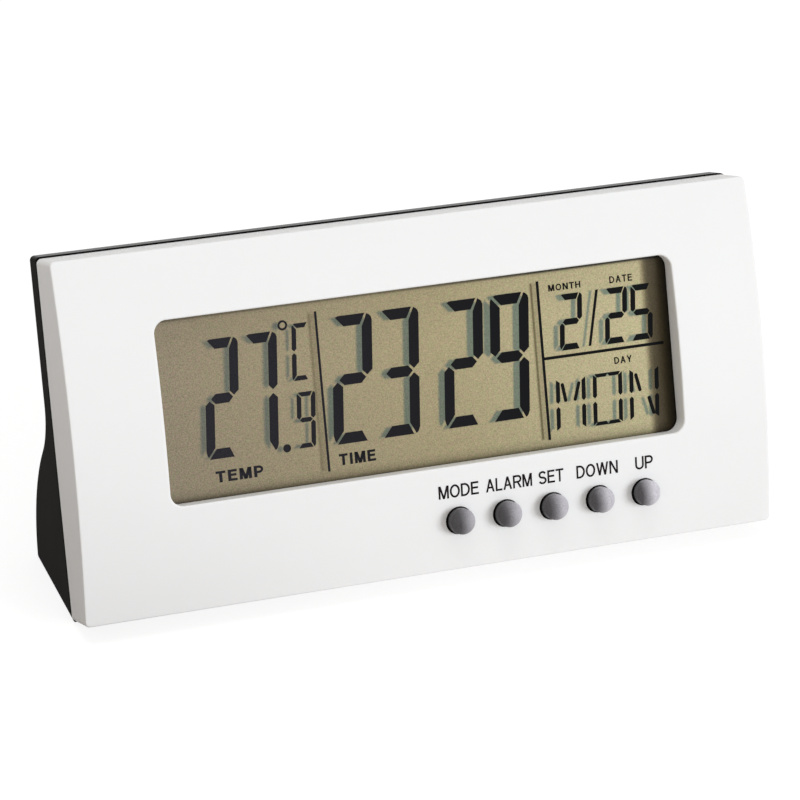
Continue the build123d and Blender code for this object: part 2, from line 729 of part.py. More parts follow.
def buzzer_seat():
    """Ring with a step inside the upper back that holds the sounder disc."""
    front = INNER_BACK - BUZZER_RING_HEIGHT
    root = INNER_BACK + HOUSING_WALL / 2
    ring = rod(BUZZER_RING_RADIUS, BUZZER_X, BUZZER_HEIGHT, front, root)
    pocket = rod(BUZZER_RADIUS + LIP_CLEARANCE, BUZZER_X, BUZZER_HEIGHT, front, BUZZER_BACK)
    space = rod(BUZZER_RADIUS - BUZZER_LEDGE, BUZZER_X, BUZZER_HEIGHT, front, root)
    return ring - pocket - space


def sound_holes():
    holes = [rod(SOUND_HOLE_RADIUS, BUZZER_X, BUZZER_HEIGHT, 0, 2 * HOUSING_DEPTH)]
    for index in range(SOUND_HOLE_COUNT):
        turn = radians(360 / SOUND_HOLE_COUNT * index)
        x = BUZZER_X + SOUND_HOLE_RING * cos(turn)
        height = BUZZER_HEIGHT + SOUND_HOLE_RING * sin(turn)
        holes.append(rod(SOUND_HOLE_RADIUS, x, height, 0, 2 * HOUSING_DEPTH))
    return holes


def vent_slots():
    slots = []
    for index in range(VENT_COUNT):
        height = SENSOR_HEIGHT + VENT_PITCH * (index - (VENT_COUNT - 1) / 2)
        plane = Plane(origin=(SENSOR_X, 0, height), x_dir=(1, 0, 0), z_dir=(0, 1, 0))
        slots.append(extrude(plane * SlotOverall(VENT_LENGTH, VENT_WIDTH), 2 * HOUSING_DEPTH))
    return slots


def rear_housing():
    shell = housing_blank() - housing_block(HOUSING_WALL)
    shell = shell + locating_lip()
    shell = shell + screw_wells()
    shell = shell + cover_ledge()
    shell = shell + buzzer_seat()
    pocket = bay_prism(
        COVER_HALF_LENGTH + COVER_CLEARANCE,
        COVER_HALF_HEIGHT + COVER_CLEARANCE,
        BULGE_CORE,
        2 * BULGE_RADIUS,
    )
    seat = bar(
        COVER_SEAT_RADIUS, -HALF_WIDTH, HALF_WIDTH, BULGE_AXIS_DEPTH, BULGE_AXIS_HEIGHT
    )
    mouth = bay_prism(BAY_HALF_LENGTH, MOUTH_HALF_HEIGHT, BULGE_CORE, 2 * BULGE_RADIUS)
    shell = shell - (pocket - seat)
    shell = shell - mouth
    shell = shell + battery_bay()
    for hole in screw_well_holes() + sound_holes() + vent_slots():
        shell = shell - hole
    for depth, height in (positive_place(), negative_place()):
        shell = shell - tab_slot(depth, height)
    return shell


def battery_cover():
    """Curved snap-in door with grip ridges near its upper edge."""
    ring = bulge_ring(BULGE_RADIUS - COVER_THICKNESS, BULGE_RADIUS, COVER_HALF_LENGTH)
    cover = ring & bay_prism(COVER_HALF_LENGTH, COVER_HALF_HEIGHT, BULGE_CORE, 2 * BULGE_RADIUS)
    first = BAY_ANGLE + degrees(asin((MOUTH_HALF_HEIGHT - COVER_LEDGE) / BULGE_RADIUS))
    for index in range(GRIP_COUNT):
        angle = first - degrees(GRIP_PITCH / BULGE_RADIUS) * index
        ridge = Box(GRIP_LENGTH, GRIP_WIDTH, 2 * GRIP_STAND_OUT)
        cover = cover + about_bulge(angle, Pos(0, 0, BULGE_RADIUS) * ridge)
    return cover


# Batteries and their contacts


def cell_place(angle):
    depth, height = bulge_point(CELL_RING, angle)
    return depth, height


def battery(angle, positive_side):
    """Cell with its raised positive end towards one side."""
    depth, height = cell_place(angle)
    shift = CELL_SHIFT * positive_side
    body_length = CELL_LENGTH - CELL_NUB_LENGTH
    far_end = shift - positive_side * CELL_LENGTH / 2
    shoulder = far_end + positive_side * body_length
    tip = far_end + positive_side * CELL_LENGTH
    body = bar(CELL_RADIUS, min(far_end, shoulder), max(far_end, shoulder), depth, height)
    body = fillet(body.edges().filter_by(GeomType.CIRCLE), CELL_EDGE_ROUND)
    return body + bar(CELL_NUB_RADIUS, min(shoulder, tip), max(shoulder, tip), depth, height)


def positive_place():
    return cell_place(LOWER_CELL_ANGLE)


def negative_place():
    return cell_place(UPPER_CELL_ANGLE)


def contact_plate(side, depth, height):
    """Square plate against an end wall of the bay."""
    outer = side * BAY_HALF_LENGTH
    inner = side * (BAY_HALF_LENGTH - CONTACT_THICKNESS)
    return block(
        (min(outer, inner), max(outer, inner)),
        (depth - CONTACT_HALF, depth + CONTACT_HALF),
        (height - CONTACT_HALF, height + CONTACT_HALF),
    )


def contact_dimple(side, depth, height):
    inner = side * (BAY_HALF_LENGTH - CONTACT_THICKNESS)
    tip = side * (BAY_HALF_LENGTH - POSITIVE_SPACE)
    return bar(DIMPLE_RADIUS, min(inner, tip), max(inner, tip), depth, height)


def contact_leaf(side, depth, height):
    """Bent leaf spring that presses on the flat end of a cell."""
    root = side * (BAY_HALF_LENGTH - CONTACT_THICKNESS + LEAF_THICKNESS / 2)
    tip = side * (BAY_HALF_LENGTH - NEGATIVE_SPACE + LEAF_THICKNESS)
    with BuildSketch(Plane(origin=(0, depth, 0), x_dir=(1, 0, 0), z_dir=(0, -1, 0))) as sketch:
        with BuildLine():
            Polyline(
                (root, height - CONTACT_HALF + LEAF_THICKNESS),
                (tip, height),
                ((root + tip) / 2, height + CONTACT_HALF - LEAF_THICKNESS),
            )
        trace(line_width=LEAF_THICKNESS)
    return extrude(sketch.sketch, amount=LEAF_WIDTH / 2, both=True)


def contact_tab(depth, height):
    """Solder tab that passes through the bay's right-hand end wall."""
    return block(
        (BAY_HALF_LENGTH - CONTACT_THICKNESS, BAY_HALF_LENGTH + TAB_LENGTH),
        (depth - CONTACT_THICKNESS / 2, depth + CONTACT_THICKNESS / 2),
        (height - TAB_WIDTH / 2, height + TAB_WIDTH / 2),
    )


def tab_slot(depth, height):
    gap = CONTACT_THICKNESS / 2 + COVER_CLEARANCE
    return block(
        (BAY_HALF_LENGTH, BAY_HALF_LENGTH + BAY_WALL),
        (depth - gap, depth + gap),
        (height - TAB_WIDTH / 2 - COVER_CLEARANCE, height + TAB_WIDTH / 2 + COVER_CLEARANCE),
    )


def positive_contact():
    depth, height = positive_place()
    contact = contact_plate(1, depth, height) + contact_dimple(1, depth, height)
    return contact + contact_tab(depth, height)


def negative_contact():
    depth, height = negative_place()
    contact = contact_plate(1, depth, height) + contact_leaf(1, depth, height)
    return contact + contact_tab(depth, height)


def bridge_contact():
    """Plate at the left end that joins the two cells in series."""
    low_depth, low_height = positive_place()
    high_depth, high_height = negative_place()
    link = block(
        (-BAY_HALF_LENGTH, -BAY_HALF_LENGTH + CONTACT_THICKNESS),
        (high_depth, low_depth),
        (low_height, high_height),
    )
    contact = contact_plate(-1, low_depth, low_height) + contact_plate(-1, high_depth, high_height)
    contact = contact + link + contact_leaf(-1, low_depth, low_height)
    return contact + contact_dimple(-1, high_depth, high_height)


def tube(points, radius, bends):
    """Round wire along straight runs joined by tangent arcs."""
    path = FilletPolyline(*points, radius=bends)
    start = Plane(origin=path @ 0, z_dir=path % 0)
    return sweep(start * Circle(radius), path=path)


def battery_leads():
    wires = []
    start_x = BAY_HALF_LENGTH + TAB_LENGTH
    top = bay_heights()[1] + BAY_WALL + LEAD_SPREAD
    for index, (depth, height) in enumerate((negative_place(), positive_place())):
        across = start_x + LEAD_STEP + index * LEAD_SPREAD
        turn_depth = HOUSING_DEPTH / 3
        points = (
            (start_x, depth, height),
            (across, depth, height),
            (across, turn_depth, top - index * LEAD_SPREAD),
            (across, BOARD_BACK, top - index * LEAD_SPREAD),
        )
        wires.append(tube(points, LEAD_RADIUS, LEAD_BEND))
    return Compound(wires)


def buzzer_leads():
    wires = []
    start = BUZZER_BACK - BUZZER_THICKNESS
    for index, reach in enumerate((CERAMIC_RADIUS / 2, CERAMIC_RADIUS + 2 * LEAD_RADIUS + 1)):
        front = start - CERAMIC_THICKNESS * (1 - index)
        height = BUZZER_HEIGHT + reach * (1 - 2 * index)
        middle = (front + BOARD_BACK) / 2
        across = BUZZER_X + BUZZER_RADIUS + LEAD_STEP
        points = (
            (BUZZER_X, front, height),
            (BUZZER_X, middle, height),
            (across, middle, height),
            (across, BOARD_BACK, height),
        )
        wires.append(tube(points, LEAD_RADIUS, BUZZER_LEAD_BEND))
    return Compound(wires)


# Sounder and parts on the back of the board


def buzzer_disc():
    front = BUZZER_BACK - BUZZER_THICKNESS
    return rod(BUZZER_RADIUS, BUZZER_X, BUZZER_HEIGHT, front, BUZZER_BACK)


def buzzer_ceramic():
    back = BUZZER_BACK - BUZZER_THICKNESS
    return rod(CERAMIC_RADIUS, BUZZER_X, BUZZER_HEIGHT, back - CERAMIC_THICKNESS, back)


def controller_chip():
    """Drop of black resin over the bare chip."""
    ball_radius = (CHIP_RADIUS**2 + CHIP_DOME**2) / (2 * CHIP_DOME)
    ball = Pos(CHIP_X, BOARD_BACK + CHIP_DOME - ball_radius, CHIP_HEIGHT) * Sphere(ball_radius)
    drop = rod(CHIP_RADIUS + 1, CHIP_X, CHIP_HEIGHT, BOARD_BACK, BOARD_BACK + 2 * CHIP_DOME)
    return ball & drop


def quartz_crystal():
    left = CRYSTAL_X - CRYSTAL_LENGTH / 2
    right = CRYSTAL_X + CRYSTAL_LENGTH / 2
    return bar(CRYSTAL_RADIUS, left, right, BOARD_BACK + CRYSTAL_RADIUS, CRYSTAL_HEIGHT)


def power_capacitor():
    back = BOARD_BACK + CAPACITOR_LENGTH
    return rod(CAPACITOR_RADIUS, CAPACITOR_X, CAPACITOR_HEIGHT, BOARD_BACK, back)


def temperature_sensor():
    """Resin bead on two wire legs, behind the vent slots."""
    bead = Pos(SENSOR_X, SENSOR_DEPTH, SENSOR_HEIGHT) * Sphere(SENSOR_RADIUS)
    for side in (-0.5, 0.5):
        x = SENSOR_X + side * SENSOR_LEG_SPREAD
        bead = bead + rod(SENSOR_LEG_RADIUS, x, SENSOR_HEIGHT, BOARD_BACK, SENSOR_DEPTH)
    return bead


# Screws


def screw(radius, length, head_radius, head_height, x, height, seat):
    """Pan-head screw with a slotted drive, its head behind the seat."""
    shank = rod(radius, x, height, seat - length, seat)
    head = rod(head_radius, x, height, seat, seat + head_height)
    back_edge = head.edges().filter_by(GeomType.CIRCLE).sort_by(Axis.Y)[-1]
    head = fillet(back_edge, head_height / 3)
    slot = block(
        (x - head_radius, x + head_radius),
        (seat + head_height - SCREW_SLOT_DEPTH, seat + head_height),
        (height - SCREW_SLOT_WIDTH / 2, height + SCREW_SLOT_WIDTH / 2),
    )
    return shank + head - slot


def housing_screws():
    screws = [
        screw(
            SCREW_RADIUS,
            SCREW_LENGTH,
            SCREW_HEAD_RADIUS,
            SCREW_HEAD_HEIGHT,
            side * SCREW_X,
            height,
            SCREW_WELL_FLOOR,
        )
        for side in (-1, 1)
        for height in SCREW_HEIGHTS
    ]
    return Compound(screws)


def board_screws():
    screws = [
        screw(
            BOARD_SCREW_RADIUS,
            BOARD_SCREW_LENGTH,
            BOARD_HEAD_RADIUS,
            BOARD_HEAD_HEIGHT,
            side * BOARD_SCREW_X,
            height,
            BOARD_BACK,
        )
        for side in (-1, 1)
        for height in BOARD_SCREW_HEIGHTS
    ]
    return Compound(screws)


# Assembly


def upright_pieces():
    """Every piece by its name, drawn with the face upright."""
    pieces = {
        "front_frame": front_frame(),
        "display_gasket": display_gasket(),
        "front_polarizer": front_polarizer(),
        "display_front_glass": front_glass(),
        "display_rear_glass": rear_glass(),
        "display_reflector": display_reflector(),
        "display_holder": display_holder(),
        "upper_connector_strip": connector_strip(1),
        "lower_connector_strip": connector_strip(-1),
        "main_board": main_board(),
        "tact_switches": tact_switches(),
        "rear_housing": rear_housing(),
        "battery_cover": battery_cover(),
        "lower_battery": battery(LOWER_CELL_ANGLE, 1),
        "upper_battery": battery(UPPER_CELL_ANGLE, -1),
        "positive_contact": positive_contact(),
        "negative_contact": negative_contact(),
        "bridge_contact": bridge_contact(),
        "battery_leads": battery_leads(),
        "buzzer_disc": buzzer_disc(),
        "buzzer_ceramic": buzzer_ceramic(),
        "buzzer_leads": buzzer_leads(),
        "controller_chip": controller_chip(),
        "quartz_crystal": quartz_crystal(),
        "power_capacitor": power_capacitor(),
        "temperature_sensor": temperature_sensor(),
        "housing_screws": housing_screws(),
        "board_screws": board_screws(),
    }
    for name, x in zip(BUTTON_NAMES, button_places()):
        pieces[f"{name}_button"] = button(x)
        pieces[f"{name}_plunger"] = switch_plunger(x)
    return pieces


def lean_and_stand(pieces):
    """Leans the pieces back, then puts the origin under the middle of the whole clock."""
    leant = {name: Rot(X=-LEAN_ANGLE) * piece for name, piece in pieces.items()}
    boxes = [piece.bounding_box() for piece in leant.values()]
    middle = (min(box.min.Y for box in boxes) + max(box.max.Y for box in boxes)) / 2
    return {name: Pos(0, -middle, BASE_DROP) * piece for name, piece in leant.items()}


def main():
    os.makedirs("parts", exist_ok=True)
    for name, piece in lean_and_stand(upright_pieces()).items():
        export_step(piece, f"parts/{name}.step")


main()
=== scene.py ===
import json
import math

import bpy
import numpy as np
from mathutils import Matrix, Vector


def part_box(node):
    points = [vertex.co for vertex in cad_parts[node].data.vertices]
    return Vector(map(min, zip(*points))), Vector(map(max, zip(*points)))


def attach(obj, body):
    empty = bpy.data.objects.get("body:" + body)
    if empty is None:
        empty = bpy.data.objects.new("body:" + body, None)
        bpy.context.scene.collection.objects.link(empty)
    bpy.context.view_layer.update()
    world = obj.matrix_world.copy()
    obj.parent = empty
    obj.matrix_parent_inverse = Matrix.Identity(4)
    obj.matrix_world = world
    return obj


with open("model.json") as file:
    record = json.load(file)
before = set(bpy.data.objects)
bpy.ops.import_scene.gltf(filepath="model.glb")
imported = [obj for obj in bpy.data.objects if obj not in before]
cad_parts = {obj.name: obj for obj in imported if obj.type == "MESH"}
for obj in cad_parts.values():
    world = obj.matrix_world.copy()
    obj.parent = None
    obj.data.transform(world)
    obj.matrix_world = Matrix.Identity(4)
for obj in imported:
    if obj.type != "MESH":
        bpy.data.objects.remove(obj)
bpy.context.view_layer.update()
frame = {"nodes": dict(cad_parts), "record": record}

# Dresses a small desk clock: finishes for every solid, the display's characters with their soft
# shadows, the printed button names, a pale floor, soft light and the camera.
# Lengths are millimetres until place() turns them into the frame's metres.

MM = 0.001
CASE = "clock_case"

# The clock leans back, so its own axes are turned in the frame
LEAN = math.radians(25.0)
RIGHT = Vector((1.0, 0.0, 0.0))
UP_FACE = Vector((0.0, math.sin(LEAN), math.cos(LEAN)))
BACK = Vector((0.0, math.cos(LEAN), -math.sin(LEAN)))

# The display film's lower front edge ties the clock's own axes to the frame
FILM_BOTTOM = 19.4
FILM_FRONT = -7.6
FILM_THICKNESS = 0.2

# Front face, a shallow arc up its height
FACE_HEIGHT = 70.0
FACE_RADIUS = 193.0
FACE_AXIS_DEPTH = 181.2
BUTTON_HEIGHT = 10.0


def face_origin():
    """Place in the frame of the point that the clock's own lengths are measured from."""
    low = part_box("front_polarizer")[0]
    edge = Vector((0.0, low.y, low.z + FILM_THICKNESS * MM * math.sin(LEAN)))
    return edge - MM * (FILM_BOTTOM * UP_FACE + FILM_FRONT * BACK)


ORIGIN = face_origin()


def place(x, height, depth):
    """Point in the frame from millimetres to the right, up the face and back from the parting plane."""
    return ORIGIN + MM * (x * RIGHT + height * UP_FACE + depth * BACK)


def face_depth(height):
    """Depth of the arched front face at a height."""
    return FACE_AXIS_DEPTH - math.sqrt(FACE_RADIUS**2 - (height - FACE_HEIGHT / 2) ** 2)


# Materials

# Sizes that several plastics share: faint blotches, worn edges and the patches along them
BLOTCH_SIZE = 18.0
WEAR_RADIUS = 0.35
WEAR_SIZE = 2.5


def fill(node, inputs):
    """Sets inputs of a node by name or number."""
    for key, value in inputs.items():
        node.inputs[key].default_value = value


class Finish:
    """A material with a principled shader and short ways to add nodes to it."""

    def __init__(self, name, colour, roughness, metallic=0.0, specular=0.5):
        self.material = bpy.data.materials.new(name)
        self.material.use_nodes = True
        self.tree = self.material.node_tree
        self.shader = self.tree.nodes["Principled BSDF"]
        fill(self.shader, {"Base Color": (*colour, 1.0), "Roughness": roughness})
        fill(self.shader, {"Metallic": metallic, "Specular IOR Level": specular})
        self.place = self.node("ShaderNodeTexCoord").outputs["Object"]

    def node(self, kind, inputs=None, **settings):
        """Adds a node with its settings, and with its inputs by name or number."""
        made = self.tree.nodes.new(kind)
        for key, value in settings.items():
            setattr(made, key, value)
        fill(made, inputs or {})
        return made

    def link(self, output, socket):
        self.tree.links.new(output, socket)

    def noise(self, size, detail=2.0, stretch=(1.0, 1.0, 1.0)):
        """Noise whose blotches are about size millimetres across."""
        mapping = self.node("ShaderNodeMapping", {"Scale": stretch})
        self.link(self.place, mapping.inputs["Vector"])
        texture = self.node("ShaderNodeTexNoise", {"Scale": 1.0 / (size * MM), "Detail": detail})
        self.link(mapping.outputs["Vector"], texture.inputs["Vector"])
        return texture.outputs["Fac"]

    def spread(self, value, low, high, start=0.3, end=0.7, kind="LINEAR"):
        """Maps a value between start and end to a range."""
        ends = {"From Min": start, "From Max": end, "To Min": low, "To Max": high}
        ramp = self.node("ShaderNodeMapRange", ends, interpolation_type=kind)
        self.link(value, ramp.inputs["Value"])
        return ramp.outputs["Result"]

    def patches(self, size, detail=2.0):
        """Soft patches about size millimetres across, from zero to one."""
        return self.spread(self.noise(size, detail), 0.0, 1.0)

    def blend(self, factor, first, second):
        """Mixes two colours, each a tuple or an output."""
        mix = self.node("ShaderNodeMix", data_type="RGBA")
        for socket, source in ((mix.inputs["A"], first), (mix.inputs["B"], second)):
            if isinstance(source, tuple):
                socket.default_value = (*source, 1.0)
            else:
                self.link(source, socket)
        if isinstance(factor, float):
            mix.inputs["Factor"].default_value = factor
        else:
            self.link(factor, mix.inputs["Factor"])
        return mix.outputs["Result"]

    def tint(self, first, second):
        """Product of two outputs, the second a colour or a level."""
        mix = self.node("ShaderNodeMix", {"Factor": 1.0}, data_type="RGBA", blend_type="MULTIPLY")
        self.link(first, mix.inputs["A"])
        self.link(second, mix.inputs["B"])
        return mix.outputs["Result"]

    def paint(self, output):
        """Sets the colour."""
        self.link(output, self.shader.inputs["Base Color"])

    def roughen(self, output):
        """Sets the roughness."""
        self.link(output, self.shader.inputs["Roughness"])

    def bump(self, value, height):
        """Relief of a height in millimetres from a value."""
        relief = self.node("ShaderNodeBump", {"Strength": 1.0, "Distance": height * MM})
        self.link(value, relief.inputs["Height"])
        self.link(relief.outputs["Normal"], self.shader.inputs["Normal"])

    def multiply(self, first, second):
        """Product of two outputs."""
        product = self.node("ShaderNodeMath", operation="MULTIPLY")
        self.link(first, product.inputs[0])
        self.link(second, product.inputs[1])
        return product.outputs["Value"]

    def along(self, direction, spot=None):
        """Millimetres along one of the clock's own axes."""
        dot = self.node("ShaderNodeVectorMath", {1: direction}, operation="DOT_PRODUCT")
        self.link(spot or self.place, dot.inputs[0])
        offset = -ORIGIN.dot(direction) / MM
        scaled = self.node("ShaderNodeMath", {1: 1.0 / MM, 2: offset}, operation="MULTIPLY_ADD")
        self.link(dot.outputs["Value"], scaled.inputs[0])
        return scaled.outputs["Value"]

    def profile(self, value, stops):
        """Piecewise level along a value, from (value, level) stops in rising order."""
        start, end = stops[0][0], stops[-1][0]
        ramp = self.node("ShaderNodeValToRGB")
        steps = ramp.color_ramp.elements
        for index, (at, level) in enumerate(stops):
            place_at = (at - start) / (end - start)
            step = steps[index] if index < 2 else steps.new(place_at)
            step.position = place_at
            step.color = (level, level, level, 1.0)
        self.link(self.spread(value, 0.0, 1.0, start, end), ramp.inputs["Fac"])
        return ramp.outputs["Color"]

    def facing(self, direction):
        """How far the surface faces a direction: one straight at it, minus one straight away."""
        surface = self.node("ShaderNodeNewGeometry")
        turn = self.node("ShaderNodeVectorMath", {1: direction.normalized()}, operation="DOT_PRODUCT")
        self.link(surface.outputs["Normal"], turn.inputs[0])
        return turn.outputs["Value"]

    def edge_mask(self, radius):
        """One near sharp edges and zero elsewhere."""
        bevel = self.node("ShaderNodeBevel", {"Radius": radius * MM}, samples=4)
        plain = self.node("ShaderNodeNewGeometry")
        dot = self.node("ShaderNodeVectorMath", operation="DOT_PRODUCT")
        self.link(bevel.outputs["Normal"], dot.inputs[0])
        self.link(plain.outputs["Normal"], dot.inputs[1])
        return self.spread(dot.outputs["Value"], 1.0, 0.0, 0.86, 0.995)

    def wear(self, least, most):
        """Patchy level along sharp edges, zero elsewhere."""
        level = self.spread(self.noise(WEAR_SIZE, 4.0), least, most)
        return self.multiply(self.edge_mask(WEAR_RADIUS), level)


PLAIN = (1.0, 1.0, 1.0)


def shade(colour, amount):
    """Colour made darker or paler, never past white."""
    return tuple(min(1.0, part * amount) for part in colour)


def moulded(name, colour, roughness, grain, relief, vary=0.06):
    """Moulded plastic with faint blotches and a fine grain."""
    finish = Finish(name, colour, roughness)
    dark, pale = shade(colour, 1.0 - vary), shade(colour, 1.0 + vary / 2)
    finish.paint(finish.blend(finish.patches(BLOTCH_SIZE, 3.0), dark, pale))
    fine = finish.noise(grain, 2.0)
    finish.roughen(finish.spread(fine, roughness - 0.05, roughness + 0.07))
    finish.bump(fine, relief)
    return finish.material


def metal(name, colour, roughness, stretch=(1.0, 1.0, 1.0)):
    """Plain or brushed metal with fine streaks and dull patches."""
    finish = Finish(name, colour, roughness, metallic=1.0)
    streaks = finish.noise(0.35, 3.0, stretch)
    finish.paint(finish.blend(finish.patches(5.0), shade(colour, 0.86), colour))
    finish.roughen(finish.spread(streaks, roughness - 0.06, roughness + 0.12))
    finish.bump(streaks, 0.003)
    return finish.material


# White front, with the share of light that passes under its skin, how far, and how by colour
WHITE = (0.83, 0.835, 0.835)
WHITE_WORN = (0.80, 0.79, 0.77)
WHITE_PASSING = 0.22
WHITE_REACH = 1.1
WHITE_REACH_BY_COLOUR = (1.0, 0.92, 0.86)


def frame_white():
    """Satin white plastic of the front, which lets a little light through."""
    finish = Finish("white_plastic", WHITE, 0.46, specular=0.32)
    fill(finish.shader, {"Subsurface Weight": WHITE_PASSING, "Subsurface Scale": WHITE_REACH * MM})
    fill(finish.shader, {"Subsurface Radius": WHITE_REACH_BY_COLOUR})
    painted = finish.blend(finish.patches(BLOTCH_SIZE, 3.0), shade(WHITE, 0.988), WHITE)
    finish.paint(finish.blend(finish.wear(0.2, 1.0), painted, WHITE_WORN))
    fine = finish.noise(0.22, 2.0)
    finish.roughen(finish.spread(fine, 0.42, 0.52))
    finish.bump(fine, 0.0025)
    return finish.material


# Black housing: the depths between which its dark line at the joint fades, painted shade of the gap
# there with some dirt, the mirroring of the top and of the ends, and how many times stronger it is at
# the back
BLACK = (0.0185, 0.0175, 0.0162)
BLACK_WORN = (0.040, 0.038, 0.036)
SEAM_SHADE_DEPTH = 0.80
SEAM_SHADE_FADE = 1.7
TOP_SHEEN = 0.0058
END_SHEEN = 0.0012
BACK_SHEEN_GAIN = 14.0


def housing_black():
    """Matt black plastic of the back with a fine spark-eroded grain and painted shade, with some dirt,
    at the joint.
    """
    finish = Finish("black_plastic", BLACK, 0.20, specular=TOP_SHEEN)
    # Painted shade of the gap between front and housing, partly dirt: a dark band at the joint that
    # also dulls the mirroring
    joint_shade = finish.spread(finish.along(BACK), 0.0, 1.0, SEAM_SHADE_DEPTH, SEAM_SHADE_FADE, "SMOOTHSTEP")
    painted = finish.blend(finish.patches(BLOTCH_SIZE, 3.0), shade(BLACK, 0.85), shade(BLACK, 1.1))
    painted = finish.blend(finish.wear(0.1, 0.8), painted, BLACK_WORN)
    finish.paint(finish.blend(joint_shade, shade(BLACK, 0.25), painted))
    side = finish.facing(RIGHT)
    sheen = finish.spread(finish.multiply(side, side), TOP_SHEEN, END_SHEEN, 0.3, 0.8)
    gain = finish.spread(finish.facing(BACK), 1.0, BACK_SHEEN_GAIN, 0.4, 0.9)
    sheen = finish.multiply(joint_shade, finish.multiply(sheen, gain))
    finish.link(sheen, finish.shader.inputs["Specular IOR Level"])
    grain = finish.noise(0.30, 2.0)
    finish.roughen(finish.spread(grain, 0.16, 0.24))
    finish.bump(grain, 0.004)
    return finish.material


# Grey buttons: how far the painted shade at the root stands out of the face, and the row's two ends.
# The first and last pairs of levels are the painted shade of a button's left and the painted light of
# its right, and TURN says how far its surface faces to the right where the change from one to the other
# starts and ends.
BUTTON_GREY = (0.140, 0.136, 0.145)
BUTTON_ROOT_SHADE = (0.004, 0.004, 0.004)
BUTTON_SHEEN = 0.22
BUTTON_ROOT = 0.60
BUTTON_FIRST = 4.7
BUTTON_LAST = 44.7
FIRST_SHADE_AND_LIGHT = ((0.43, 0.43, 0.43), (2.70, 2.70, 2.72))
FIRST_TURN = (-0.31, 0.80)
LAST_SHADE_AND_LIGHT = ((0.52, 0.52, 0.52), (3.36, 3.36, 3.40))
LAST_TURN = (-0.54, 0.22)


def button_grey():
    """Satin grey plastic with a mottled grain, painted shade on its left and at its root, and painted
    light on its right.
    """
    finish = Finish("grey_plastic", BUTTON_GREY, 0.50, specular=BUTTON_SHEEN)
    mottle = finish.noise(0.26, 3.0)
    base = finish.blend(finish.patches(1.6), shade(BUTTON_GREY, 0.86), shade(BUTTON_GREY, 1.06))
    base = finish.blend(finish.spread(mottle, 0.0, 0.6), base, shade(BUTTON_GREY, 1.6))
    spot = finish.node("ShaderNodeNewGeometry").outputs["Position"]
    # Painted light and shade: paler where the button faces right towards the key lamp, darker where it
    # faces left
    turn = finish.facing(RIGHT + 0.06 * UP_FACE)
    first = finish.blend(finish.spread(turn, 0.0, 1.0, *FIRST_TURN), *FIRST_SHADE_AND_LIGHT)
    last = finish.blend(finish.spread(turn, 0.0, 1.0, *LAST_TURN), *LAST_SHADE_AND_LIGHT)
    row = finish.spread(finish.along(RIGHT, spot), 0.0, 1.0, BUTTON_FIRST, BUTTON_LAST)
    base = finish.tint(base, finish.blend(row, first, last))
    # Painted shade at the root, where the gap round the button lies in shadow; it also dulls the
    # mirroring there
    root = face_depth(BUTTON_HEIGHT) - BUTTON_ROOT
    unshaded = finish.spread(finish.along(BACK, spot), 1.0, 0.0, root - 0.25, root + 0.1)
    finish.paint(finish.blend(unshaded, BUTTON_ROOT_SHADE, base))
    sheen = finish.spread(unshaded, 0.01, BUTTON_SHEEN, 0.0, 1.0)
    finish.link(sheen, finish.shader.inputs["Specular IOR Level"])
    finish.roughen(finish.spread(mottle, 0.44, 0.58))
    finish.bump(mottle, 0.012)
    return finish.material


# Film of the display: its tints from left to right, with painted light making it paler to the right,
# and its borders
FILM_SHADED_LEFT_TINT = (0.262, 0.222, 0.152)
FILM_MIDDLE_TINT = (0.368, 0.318, 0.184)
FILM_LIT_RIGHT_TINT = (0.480, 0.434, 0.256)
FILM_LEFT = -54.0
FILM_MIDDLE = 5.0
FILM_RIGHT = 54.0
FILM_LOW = 20.9
FILM_HIGH = 56.6
FILM_PALE_END = 8.0
FILM_WIDTH = FILM_RIGHT - FILM_LEFT
FILM_TALL = FILM_HIGH - FILM_LOW

# Speckle of the film: its two hues and its levels
SPECKLE_HUES = ((1.07, 0.96, 1.04), (0.94, 1.03, 0.93))
SPECKLE_LEVELS = (0.74, 1.26)

# Hue of the film in the right border's painted shadow, and the distances between which it fades
FILM_SHADOW_HUE = (1.06, 0.92, 0.76)
FILM_SHADOW_NEAR = 3.8
FILM_SHADOW_FAR = 5.6

# Level of the film by distance from each border, in millimetres: painted shade where the window's walls
# shade the film at the right, upper and lower borders, widest at the right, a thin darker edge at the
# left, and darker towards the bottom
RIGHT_BORDER_SHADE = ((0.0, 0.02), (0.9, 0.045), (2.0, 0.115), (3.8, 0.150), (4.5, 0.26), (5.75, 1.0))
LEFT_BORDER = ((0.0, 0.60), (0.35, 1.0))
LOW_BORDER_SHADE = ((0.0, 0.34), (0.3, 0.48), (0.9, 0.70), (2.4, 0.89), (12.0, 0.94), (24.0, 1.0))
HIGH_BORDER_SHADE = ((0.0, 0.25), (0.62, 0.48), (0.85, 0.86), (1.5, 1.0))

# Painted shadow of the window's upper wall: a thin dark line at the upper border, which sets in from
# left to right
HIGH_SHADOW_LINE = ((0.0, 0.06), (0.58, 0.12), (0.78, 0.60), (1.0, 1.0))
HIGH_SHADOW_START = -12.0
HIGH_SHADOW_FULL = 28.0


